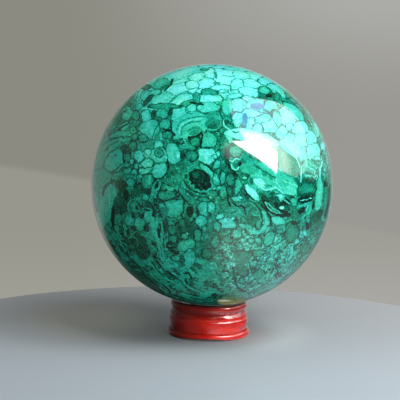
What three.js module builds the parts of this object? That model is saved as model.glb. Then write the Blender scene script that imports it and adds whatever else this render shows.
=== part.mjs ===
// A polished malachite sphere on its turned wooden ring stand, for a shelf or a desk.
//
// Two loose pieces: the stone ball, and a red-lacquered ring that it sits in by its own weight.
// Millimetres, +Z up. The origin is on the surface that the stand rests on, at the middle of the ring,
// and the ball's vertical axis is the Z axis. Both pieces are round about Z.
import * as THREE from "three";

// Driving dimensions
const BALL_DIAMETER = 100;
const RING_HEIGHT = 14.2;
const FOOT_RADIUS = 17.1; // widest point of the bottom bead
const BELLY_RADIUS = 16.4; // widest point of the rounded middle
const LIP_RADIUS = 15.85; // widest point of the top bead
const UPPER_GROOVE_RADIUS = 15.0; // bottom of the groove between lip and belly
const LOWER_GROOVE_RADIUS = 15.5; // bottom of the groove between belly and foot
const BORE_RADIUS = 11.0; // the hole runs right through the ring
const SEAT_RADIUS = 12.0; // circle on which the ball rests
const SEAT_WIDTH = 1.2; // of the dished band around that circle, seen from above
const SEAT_GAP = 0.3; // left between the faceted ball and its seat

// Heights of the ring's mouldings, above the surface that it stands on
const FOOT_BEAD_TOP = 2.9;
const BELLY_TOP = 11.0;
const LIP_BEAD_BOTTOM = 11.5;

// Rounding of edges
const SOLE_EDGE = 0.8; // between the sole and the bottom bead
const BORE_EDGE = 0.5; // where the bore meets the sole

// Faceting
const BALL_DETAIL = 13; // odd, so that a vertex lies at each end of every axis
const RING_SIDES = 72;
const BEAD_STEPS = 8; // along each rounded moulding

const BALL_RADIUS = BALL_DIAMETER / 2;
const SEAT_SLOPE = Math.asin(SEAT_RADIUS / BALL_RADIUS);
// The seat touches the ball's sphere, less the gap, on the circle of SEAT_RADIUS at the height of
// the ring's top face less half the dish's depth.
const SEAT_HEIGHT = RING_HEIGHT - (SEAT_WIDTH / 2) * Math.tan(SEAT_SLOPE);
const BALL_CENTRE_HEIGHT = SEAT_HEIGHT + SEAT_GAP + Math.sqrt(BALL_RADIUS ** 2 - SEAT_RADIUS ** 2);

// The right-hand half of an ellipse, from its bottom to its top: a bead or a belly in the profile.
function bead(bottom, top, innerRadiusBelow, innerRadiusAbove, widest) {
  const points = [];
  const middle = (bottom + top) / 2;
  for (let step = 0; step <= BEAD_STEPS; step += 1) {
    const angle = -Math.PI / 2 + (Math.PI * step) / BEAD_STEPS;
    const inner = angle < 0 ? innerRadiusBelow : innerRadiusAbove;
    const radius = inner + (widest - inner) * Math.cos(angle);
    const height = middle + ((top - bottom) / 2) * Math.sin(angle);
    points.push(new THREE.Vector2(radius, height));
  }
  return points;
}

// The ring's profile, as radius and height: up the outside, over the top, and down the bore.
function ringProfile() {
  const dishInner = SEAT_RADIUS - SEAT_WIDTH / 2;
  const dishOuter = SEAT_RADIUS + SEAT_WIDTH / 2;
  const dishDepth = SEAT_WIDTH * Math.tan(SEAT_SLOPE);
  const soleRadius = FOOT_RADIUS - SOLE_EDGE;
  const lipTopRadius = LIP_RADIUS - SOLE_EDGE;
  return [
    new THREE.Vector2(BORE_RADIUS + BORE_EDGE, 0),
    ...bead(0, FOOT_BEAD_TOP, soleRadius, LOWER_GROOVE_RADIUS, FOOT_RADIUS),
    ...bead(FOOT_BEAD_TOP, BELLY_TOP, LOWER_GROOVE_RADIUS, UPPER_GROOVE_RADIUS, BELLY_RADIUS).slice(1),
    ...bead(LIP_BEAD_BOTTOM, RING_HEIGHT, UPPER_GROOVE_RADIUS, lipTopRadius, LIP_RADIUS),
    new THREE.Vector2(dishOuter, RING_HEIGHT),
    new THREE.Vector2(dishInner, RING_HEIGHT - dishDepth),
    new THREE.Vector2(BORE_RADIUS, RING_HEIGHT - dishDepth - BORE_EDGE),
    new THREE.Vector2(BORE_RADIUS, BORE_EDGE),
  ];
}

// A turned ring of wood under thick glossy red lacquer.
function ringStand() {
  const profile = ringProfile();
  profile.push(profile[0].clone());
  const geometry = new THREE.LatheGeometry(profile, RING_SIDES);
  geometry.rotateX(Math.PI / 2);
  const lacquer = new THREE.MeshStandardMaterial({ color: 0xa01410, roughness: 0.15, metalness: 0 });
  const mesh = new THREE.Mesh(geometry, lacquer);
  mesh.name = "ring_stand";
  return mesh;
}

// The stone ball, ground true and polished.
function malachiteSphere() {
  const geometry = new THREE.IcosahedronGeometry(BALL_RADIUS, BALL_DETAIL);
  const malachite = new THREE.MeshStandardMaterial({ color: 0x1f9a76, roughness: 0.08, metalness: 0 });
  const mesh = new THREE.Mesh(geometry, malachite);
  mesh.name = "malachite_sphere";
  mesh.position.z = BALL_CENTRE_HEIGHT;
  return mesh;
}

const ornament = new THREE.Group();
ornament.name = "sphere_on_ring_stand";
ornament.add(ringStand(), malachiteSphere());

export default ornament;
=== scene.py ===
# A polished malachite ball on a turned, red-lacquered ring, on a pale display table.
import math

import bpy
import numpy as np
from mathutils import Matrix, Vector


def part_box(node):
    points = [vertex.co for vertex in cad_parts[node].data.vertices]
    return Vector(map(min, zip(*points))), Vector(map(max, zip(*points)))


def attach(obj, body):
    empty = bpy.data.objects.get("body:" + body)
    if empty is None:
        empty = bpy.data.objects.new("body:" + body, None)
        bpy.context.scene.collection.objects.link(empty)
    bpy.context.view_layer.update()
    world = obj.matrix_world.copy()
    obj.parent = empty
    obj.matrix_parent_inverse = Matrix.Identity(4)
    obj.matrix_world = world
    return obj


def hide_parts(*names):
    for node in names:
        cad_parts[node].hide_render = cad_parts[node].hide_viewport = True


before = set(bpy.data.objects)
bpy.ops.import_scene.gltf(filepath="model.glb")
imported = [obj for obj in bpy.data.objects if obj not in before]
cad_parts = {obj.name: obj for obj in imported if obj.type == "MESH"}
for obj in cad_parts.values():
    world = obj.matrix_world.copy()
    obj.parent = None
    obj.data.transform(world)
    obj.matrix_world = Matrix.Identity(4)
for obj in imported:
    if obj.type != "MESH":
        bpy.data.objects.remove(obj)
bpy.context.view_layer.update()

# The ball and the ring, in metres
BALL_LOW, BALL_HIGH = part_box("malachite_sphere")
BALL_CENTRE = (BALL_LOW + BALL_HIGH) / 2
BALL_RADIUS = (BALL_HIGH.z - BALL_LOW.z) / 2
RING_HEIGHT = 0.0142
FOOT_RADIUS = 0.0171
BELLY_RADIUS = 0.0164
LIP_RADIUS = 0.01585
UPPER_GROOVE_RADIUS = 0.0150
LOWER_GROOVE_RADIUS = 0.0155
BORE_RADIUS = 0.0110
SEAT_RADIUS = 0.0120
SEAT_WIDTH = 0.0012
FOOT_BEAD_TOP = 0.0029
BELLY_TOP = 0.0110
LIP_BEAD_BOTTOM = 0.0115
SOLE_EDGE = 0.0008
BORE_EDGE = 0.0005
BELLY_BULGE = 1.7  # above 1, the belly curves in more towards its grooves

# The ring's small faults: it is a little out of round and warped, has a faint hollow around its belly, and
# the edge of its foot is turned up in front
OUT_OF_ROUND = 0.00010
RIPPLE = 0.00006
WARP = 0.00022
SMALL_WARP = 0.00012
HOLLOW_HEIGHT = 0.0082
HOLLOW_REACH = 0.0010
HOLLOW_DEPTH = 0.00027
SOLE_LIFT = 0.0009
SOLE_LIFT_TURN = math.radians(-93)
SKIN = 0.00010  # how far the uneven ring stays inside its true sizes

# How finely the round pieces are made
BALL_RINGS = 180
BALL_SEGMENTS = 360
ROOM_RINGS = 32
ROOM_SEGMENTS = 64
RING_SIDES = 240
BELLY_STEPS = 64
BEAD_STEPS = 24
TABLE_SIDES = 160

# The photograph's frame, in pixels, and how its camera stood
PICTURE_SIDE = 400
PICTURE_MIDDLE = PICTURE_SIDE / 2
BALL_MIDDLE_ACROSS = 212.0
BALL_MIDDLE_DOWN = 184.8
BALL_PIXELS = 120.85
CAMERA_DISTANCE = 1.0
CAMERA_TILT = math.radians(8.5)
CAMERA_ROLL = math.radians(1.5)
SENSOR_WIDTH = 36.0
FOCAL_PIXELS = BALL_PIXELS * math.sqrt((CAMERA_DISTANCE / BALL_RADIUS) ** 2 - 1)

# The room's two shells, and the table's oval top
ROOM_RADIUS = 2.0
WALL_RADIUS = 2.5
TABLE_BACK = 0.103
TABLE_HALF_WIDTH = 0.150
TABLE_HALF_DEPTH = 0.192
TABLE_THICKNESS = 0.012


def pixel_in_view(across, down):
    """The direction of a pixel from the camera, in the camera's own frame."""
    return Vector((across - PICTURE_MIDDLE, PICTURE_MIDDLE - down, -FOCAL_PIXELS))


def camera_pose():
    """How the camera stands: a 4 by 4 matrix that puts the ball where the photograph has it."""
    sight = Vector((0, math.cos(CAMERA_TILT), -math.sin(CAMERA_TILT)))
    level = Vector((1, 0, 0))
    upright = Vector((0, math.sin(CAMERA_TILT), math.cos(CAMERA_TILT)))
    right = level * math.cos(CAMERA_ROLL) + upright * math.sin(CAMERA_ROLL)
    up = upright * math.cos(CAMERA_ROLL) - level * math.sin(CAMERA_ROLL)
    facing_ball = Matrix((right, up, -sight)).transposed()
    ball_in_view = pixel_in_view(BALL_MIDDLE_ACROSS, BALL_MIDDLE_DOWN)
    aside = Vector((0, 0, -1)).rotation_difference(ball_in_view.normalized())
    turn = facing_ball @ aside.to_matrix().transposed()
    place = BALL_CENTRE - sight * CAMERA_DISTANCE
    return Matrix.Translation(place) @ turn.to_4x4()


CAMERA_POSE = camera_pose()
CAMERA_PLACE = CAMERA_POSE.to_translation()
FRONT = (CAMERA_PLACE - BALL_CENTRE).normalized()


def sight_line(across, down):
    """The direction in which the camera sees a pixel of the photograph."""
    return (CAMERA_POSE.to_3x3() @ pixel_in_view(across, down)).normalized()


def on_ball(across, down):
    """The point of the ball that a pixel shows; just outside the outline, the nearest point of it."""
    line = sight_line(across, down)
    to_centre = BALL_CENTRE - CAMERA_PLACE
    along = to_centre.dot(line)
    miss = (to_centre - line * along).length
    half_chord = math.sqrt(max(BALL_RADIUS**2 - miss**2, 0.0))
    point = CAMERA_PLACE + line * (along - half_chord)
    return BALL_CENTRE + (point - BALL_CENTRE).normalized() * BALL_RADIUS


def mirrored_line(across, down):
    """Where the ball's polish sends the camera's sight at a pixel: a point and a direction."""
    point = on_ball(across, down)
    line = sight_line(across, down)
    outward = (point - BALL_CENTRE).normalized()
    return point, (line - outward * 2 * line.dot(outward)).normalized()


def make_mesh(name, corners, faces, smooth=True):
    mesh = bpy.data.meshes.new(name)
    mesh.from_pydata([tuple(c) for c in corners], [], faces)
    mesh.polygons.foreach_set("use_smooth", [smooth] * len(mesh.polygons))
    mesh.update()
    made = bpy.data.objects.new(name, mesh)
    bpy.context.scene.collection.objects.link(made)
    return made


class Sheet:
    """A node tree that is being drawn. A value is a socket to link from, or the number or tuple to set."""

    def __init__(self, tree):
        self.tree = tree

    def add(self, kind, values=None, **settings):
        node = self.tree.nodes.new(kind)
        for name, value in settings.items():
            setattr(node, name, value)
        for name, value in (values or {}).items():
            self.put(node.inputs[name], value)
        return node

    def put(self, socket, value):
        if isinstance(value, bpy.types.NodeSocket):
            self.tree.links.new(value, socket)
        elif value is not None:
            socket.default_value = value

    def maths(self, operation, *values, clamp=False):
        node = self.add("ShaderNodeMath", dict(enumerate(values)), operation=operation, use_clamp=clamp)
        return node.outputs[0]

    def vector(self, operation, *values):
        node = self.add("ShaderNodeVectorMath", dict(enumerate(values)), operation=operation)
        return node.outputs["Value" if operation in ("LENGTH", "DISTANCE", "DOT_PRODUCT") else "Vector"]

    def mix(self, share, one, other):
        return self.add("ShaderNodeMix", {0: share, 2: one, 3: other}, data_type="FLOAT").outputs[0]

    def mix_vector(self, share, one, other):
        return self.add("ShaderNodeMix", {0: share, 4: one, 5: other}, data_type="VECTOR").outputs[1]

    def ramp(self, value, low, high, to_low=0.0, to_high=1.0, smooth=True):
        kind = "SMOOTHSTEP" if smooth else "LINEAR"
        values = {0: value, 1: low, 2: high, 3: to_low, 4: to_high}
        return self.add("ShaderNodeMapRange", values, interpolation_type=kind, clamp=not smooth).outputs[0]

    def noise(self, place, scale, detail=2.0, roughness=0.5):
        values = {"Vector": place, "Scale": scale, "Detail": detail, "Roughness": roughness}
        return self.add("ShaderNodeTexNoise", values)

    def noise_along(self, distance, scale=1.0, detail=1.0):
        values = {"W": distance, "Scale": scale, "Detail": detail}
        return self.add("ShaderNodeTexNoise", values, noise_dimensions="1D").outputs[0]

    def cells(self, place, scale, feature="F1", randomness=1.0):
        values = {"Vector": place, "Scale": scale, "Randomness": randomness}
        return self.add("ShaderNodeTexVoronoi", values, feature=feature)


def new_group(name, inputs, outputs):
    """An empty node group with these sockets, its sheet, its inputs by name, and its output node."""
    tree = bpy.data.node_groups.new(name, "ShaderNodeTree")
    kinds = {"value": "NodeSocketFloat", "vector": "NodeSocketVector", "colour": "NodeSocketColor"}
    for label, kind in inputs.items():
        tree.interface.new_socket(label, in_out="INPUT", socket_type=kinds[kind])
    for label, kind in outputs.items():
        tree.interface.new_socket(label, in_out="OUTPUT", socket_type=kinds[kind])
    sheet = Sheet(tree)
    given = tree.nodes.new("NodeGroupInput")
    result = tree.nodes.new("NodeGroupOutput")
    return tree, sheet, {label: given.outputs[label] for label in inputs}, result


def place_group(sheet, tree, values):
    node = sheet.tree.nodes.new("ShaderNodeGroup")
    node.node_tree = tree
    for name, value in values.items():
        sheet.put(node.inputs[name], value)
    return node.outputs


def new_material(name):
    material = bpy.data.materials.new(name)
    material.use_nodes = True
    nodes = material.node_tree.nodes
    nodes.clear()
    output = nodes.new("ShaderNodeOutputMaterial")
    shader = nodes.new("ShaderNodeBsdfPrincipled")
    material.node_tree.links.new(shader.outputs["BSDF"], output.inputs["Surface"])
    return material, shader


# Camera
camera = bpy.data.objects.new("camera", bpy.data.cameras.new("camera"))
bpy.context.scene.collection.objects.link(camera)
camera.matrix_world = CAMERA_POSE
camera.data.sensor_width = SENSOR_WIDTH
camera.data.lens = FOCAL_PIXELS / PICTURE_SIDE * SENSOR_WIDTH
camera.data.clip_start = 0.01
camera.data.clip_end = 20
bpy.context.scene.camera = camera
bpy.context.scene.view_settings.view_transform = "Standard"

# What the figure in the stone is drawn in: millimetres from the ball's centre
MM = 1000.0
NODULE_DEPTH = 25.0
WIDEST_STRETCH = 3.0  # the most that a pixel near the outline covers, in pixels of the ball's middle

# What the stone's figure is laid out from, as the photograph shows it on the side that faces the viewer.
# Each place is a pixel of the photograph, across and down. Sizes are in its pixels too, and a turn is in
# degrees, clockwise. Paleness runs from 0, the near-black green of the veins, to 1, the palest mint.
# Bands count the rings of a banded nodule.


def spot(across, down, half_width, half_height, turn, paleness, bands=0):
    """A round or oval patch."""
    return {"ellipse": (across, down, half_width, half_height, turn), "paleness": paleness, "bands": bands}


def line(half_width, paleness, *places):
    """A vein or streak through these places."""
    return {"half_width": half_width, "paleness": paleness, "places": places}


# Nodules that grew side by side, with dark veins where they meet.
GROWN_NODULES = [
    # the pale cap, from left to right and down
    spot(182, 72.5, 19, 4.6, -20, 0.90), spot(197, 76.5, 7.5, 4, -8, 0.93),
    spot(204.5, 69.5, 3.6, 1.2, 0, 0.50), spot(207, 66, 8, 1.8, -3, 0.92), spot(220, 66.5, 7, 2, 2, 0.92),
    spot(238, 68.5, 12, 2.3, 11, 0.90), spot(180, 81, 7.5, 2, -14, 0.85),
    spot(177.5, 88.5, 10, 5.5, -12, 0.93), spot(192.5, 84.5, 7, 4, -8, 0.93),
    spot(193, 90.5, 5.5, 2.3, -22, 0.90), spot(199.5, 90.5, 3, 2.2, -25, 0.88),
    spot(206.5, 82.5, 9, 4.8, -4, 0.95), spot(210, 73.5, 4.6, 4.6, 0, 0.97),
    spot(223.5, 77, 9.3, 8, 0, 1.0), spot(241, 75.3, 8.5, 3.4, 5, 0.93), spot(237, 83.3, 6, 5, -15, 0.95),
    spot(250.5, 83, 7.5, 4.2, 8, 0.97), spot(256.5, 76, 8, 3.4, 32, 0.95),
    spot(248, 91.3, 8.5, 4.6, 6, 0.97), spot(220, 86.8, 9.5, 3, -2, 0.93),
    spot(210, 91.5, 8, 3.8, 0, 0.48), spot(222, 91.5, 4, 1.6, 0, 0.80), spot(236, 91.5, 3.5, 2, 0, 0.85),
    spot(237, 95.3, 6, 2.2, -10, 0.85), spot(247, 97.5, 6, 2.2, 0, 0.90),
    spot(161, 83, 10, 4.2, -22, 0.62), spot(155, 92.5, 6, 2.6, -18, 0.68),
    spot(161.5, 98.5, 11.5, 5.3, -20, 0.78), spot(182.5, 98.8, 10.5, 4.6, -15, 0.86),
    spot(208.5, 98, 10, 3.8, 0, 0.88), spot(196.5, 98, 4, 7, 0, 0.48), spot(145, 95, 4.4, 6, 30, 0.66),
    spot(145.5, 86.5, 5, 3, -30, 0.40), spot(165.5, 105.8, 16.5, 3.2, 2, 0.45),
    spot(186, 102.8, 7, 3.5, -25, 0.50),
    # the right of the cap, and the pale nodules under the window's veil
    spot(264, 80, 9, 3, 30, 0.90), spot(275, 88, 9, 2.6, 38, 0.85), spot(264, 90, 5, 3.4, 20, 0.66),
    spot(277, 96, 3, 5.5, 10, 0.42), spot(239, 105, 5.5, 6.5, 10, 0.78), spot(238, 119, 4.6, 7.5, 0, 0.75),
    spot(257, 105, 8, 4.5, 0, 0.80), spot(270, 106, 7, 5, 0, 0.72), spot(252, 113.5, 9, 3.6, 5, 0.88),
    spot(251, 123.5, 3.4, 5.6, 0, 0.88), spot(262, 119, 8, 4.5, 15, 0.85), spot(270, 125, 8, 5.5, 0, 0.88),
    spot(258, 127.5, 6, 3.2, 0, 0.85), spot(294, 111.5, 9.5, 3.8, 42, 0.78),
    spot(286.5, 117, 7.5, 8, 30, 0.93), spot(279, 120, 5, 7, 0, 0.82), spot(283, 131, 6, 5, 0, 0.88),
    spot(299, 128.5, 7.5, 6.2, -10, 0.96), spot(299, 140, 7, 6.5, 10, 0.95),
    spot(289.5, 126, 4, 5, 0, 0.84), spot(290.5, 138, 5, 5, 20, 0.84),
    spot(310.5, 138.5, 4.6, 5.2, 0, 0.95), spot(313, 150.5, 6, 6, 0, 0.93),
    spot(323.3, 146, 2.2, 3, -20, 0.92), spot(317, 157.6, 2.6, 2, 0, 0.95),
    spot(304, 153, 3.6, 6, 10, 0.80), spot(317, 129, 2.4, 6, -28, 0.85),
    # the scalloped fan and its neighbours
    spot(181, 113.5, 9, 9, -50, 0.74), spot(190.5, 107.5, 5.8, 4.8, 0, 0.72),
    spot(208, 107, 11.5, 5, 0, 0.72), spot(213, 120.5, 9.5, 10, 0, 0.55),
    spot(208, 140.5, 8.5, 8.6, 0, 0.60), spot(196, 141.5, 5, 4.6, 0, 0.42),
    spot(178, 137.5, 5.4, 2.6, -15, 0.60), spot(187, 146.8, 9, 2.8, 8, 0.45),
    spot(191, 155, 6.5, 5.5, 0, 0.40), spot(167, 135, 5, 3, 0, 0.45),
    spot(172.5, 153, 7.2, 10.5, -8, 0.69),
    # left of the fan
    spot(126.3, 112.5, 5.4, 7, 20, 0.63), spot(135.5, 115.5, 3.6, 5, 0, 0.42),
    spot(146.5, 115.3, 5.2, 6, 0, 0.72), spot(162.5, 113, 6, 5.8, 0, 0.56),
    spot(165.5, 124.3, 5.8, 5, -35, 0.55), spot(149.5, 129.5, 9.5, 10, 12, 0.66),
    spot(143.5, 138, 4.4, 5, 40, 0.46), spot(134, 130, 3.6, 3.4, 0, 0.55),
    spot(124, 126.5, 6.4, 2.9, -38, 0.62), spot(119, 135, 11.5, 4, -12, 0.55),
    spot(112, 144, 10, 4.5, -38, 0.55), spot(134.5, 137, 3.2, 3.4, 0, 0.42),
    spot(125, 139.5, 6, 2.2, 0, 0.48), spot(133, 146, 4, 5, 30, 0.40),
    # the big oval and the cluster of round nodules
    spot(113.3, 159.8, 9.5, 12.3, 20, 0.57), spot(126.3, 157, 4.3, 6.5, 0, 0.36, 3),
    spot(100, 161, 5, 11, 15, 0.53), spot(139.3, 156.5, 5.5, 7.6, 0, 0.70),
    spot(148.3, 153.5, 5, 4.8, 0, 0.72), spot(145, 163.5, 7, 4.8, 0, 0.71),
    spot(145.5, 169.5, 6.5, 4, -15, 0.68), spot(159, 156, 8.6, 8.4, 0, 0.68),
    spot(158.5, 144.3, 4.3, 4.4, 0, 0.66), spot(160, 170.5, 8.6, 8.4, -25, 0.68),
    spot(147, 181.5, 6.8, 7.4, 0, 0.44), spot(130, 182.5, 4, 4.4, 0, 0.48),
    spot(131, 162, 2.6, 3.6, 0, 0.50), spot(136, 166.5, 2.6, 3.5, -10, 0.50),
    spot(127.5, 171, 4.6, 2.8, 0, 0.48), spot(134.3, 172.5, 3.6, 2.6, 10, 0.50),
    spot(140, 175.5, 2, 1.8, 0, 0.60), spot(126, 165.5, 3.2, 2.6, 0, 0.42),
    spot(104, 177, 9, 4, -10, 0.44), spot(116, 176, 8, 3.4, -25, 0.42),
    spot(109.5, 199, 4.5, 11, 14, 0.58), spot(99, 197, 5, 16, 0, 0.58), spot(100.5, 218, 5, 12, -6, 0.58),
    # around the middle
    spot(206, 154.8, 7.6, 7.6, 0, 0.80), spot(207.5, 171, 11, 4, 48, 0.66),
    spot(214.7, 157.3, 2.2, 2.4, 0, 0.74), spot(218.5, 154.5, 2.4, 3, 0, 0.64),
    spot(217, 164.5, 3.5, 4.5, 0, 0.55), spot(216, 179.5, 3.2, 6.4, -10, 0.60),
    spot(222.5, 178.5, 2.8, 8, 0, 0.52), spot(166.3, 195, 8, 4.6, -10, 0.42),
    spot(223, 192, 3.5, 7, -5, 0.50), spot(235.5, 151.5, 5.8, 6, 0, 0.50),
    spot(229.5, 191.5, 3.2, 5, 0, 0.30), spot(212, 194, 6.5, 4, 0, 0.42), spot(205, 200, 7, 2.5, 8, 0.42),
    spot(229, 136.5, 6, 3, 55, 0.75), spot(231, 180, 4.4, 6.5, 0, 0.40),
    # the bright body on the right and what lies under it
    spot(274, 178.5, 26, 12.5, 24, 0.68), spot(250, 168, 8, 11, -20, 0.58),
    spot(251, 192, 7.6, 2.8, 50, 0.92), spot(244.5, 178.7, 2.3, 1.7, 0, 0.85),
    spot(236, 198.5, 5, 2.6, 10, 0.66), spot(237.5, 186, 3, 8.5, 5, 0.54),
    spot(307.5, 189.5, 8.8, 6.2, 0, 0.42), spot(319.5, 195, 3, 14, 6, 0.76),
    spot(293.5, 202.5, 4, 4, 0, 0.58), spot(279, 197, 3.6, 4, 0, 0.78), spot(326, 200, 2.6, 14, 3, 0.44),
    # below the middle
    spot(172, 208, 11.3, 8.6, 10, 0.56), spot(162.5, 205, 4, 3.6, 0, 0.48),
    spot(205.5, 209, 7.5, 7, 0, 0.58), spot(201, 221, 5.6, 6, 20, 0.62), spot(210, 208, 5, 6.6, 20, 0.64),
    spot(220, 216.5, 4.4, 3.5, -15, 0.72), spot(226.8, 223.6, 8.7, 5, 15, 0.70),
    spot(217.3, 226.5, 4, 4.6, 0, 0.52), spot(205.5, 229, 2.6, 3.6, 0, 0.50),
    spot(209.5, 220, 3, 2.2, 0, 0.50), spot(236.5, 234, 5.2, 4.6, 20, 0.62),
    spot(242.5, 226, 4.6, 2.4, 20, 0.58), spot(227.5, 239, 4.6, 3.6, 0, 0.44),
    spot(252, 240.5, 3, 2.7, 0, 0.56), spot(258, 239.5, 3.6, 2.9, 0, 0.62),
    spot(269.5, 239.5, 4.6, 7.6, 30, 0.60), spot(278, 221, 6.8, 4.3, 15, 0.72),
    spot(281, 229, 4.6, 5, 0, 0.50), spot(292, 232.5, 7.6, 9.6, 0, 0.41),
    spot(305, 233.5, 1.9, 2.9, -20, 0.75), spot(296.5, 242, 2.9, 2.3, 0, 0.70),
    spot(172.5, 230.5, 4.8, 4.8, 0, 0.38), spot(183, 223, 4.2, 4.2, 0, 0.35),
    spot(184.5, 236.3, 3.5, 3, 0, 0.48), spot(173, 238.5, 4.2, 3.6, 0, 0.40),
    spot(180.5, 217, 3, 2.6, 0, 0.38), spot(186, 245, 9.6, 5.6, -12, 0.58),
    spot(166, 249, 3.6, 1.9, 0, 0.55), spot(176, 258, 4.2, 2.5, 0, 0.50),
    spot(189, 258.5, 6, 8.5, 15, 0.60), spot(198.5, 236, 3.6, 6.5, 0, 0.44),
    spot(216, 241, 3.6, 6.5, 10, 0.45), spot(207, 254, 5.5, 5, 0, 0.34),
    spot(241, 253.5, 5.8, 2.4, -8, 0.52), spot(258.5, 253, 6, 3.4, -5, 0.50),
    spot(242, 281, 3.4, 3, 0, 0.46), spot(243.5, 272.5, 5, 4.5, 0, 0.36),
    spot(259.5, 274.5, 6.6, 4.6, -25, 0.48), spot(146, 197.5, 3.2, 3.7, 0, 0.52),
    spot(135, 208, 5, 6.2, 0, 0.45), spot(130, 220, 5.6, 6, 30, 0.50), spot(139, 224, 5.5, 6.8, 0, 0.54),
    spot(147.5, 216.5, 4.6, 6.6, 0, 0.56), spot(306, 249, 5, 6, 30, 0.40),
]

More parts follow.
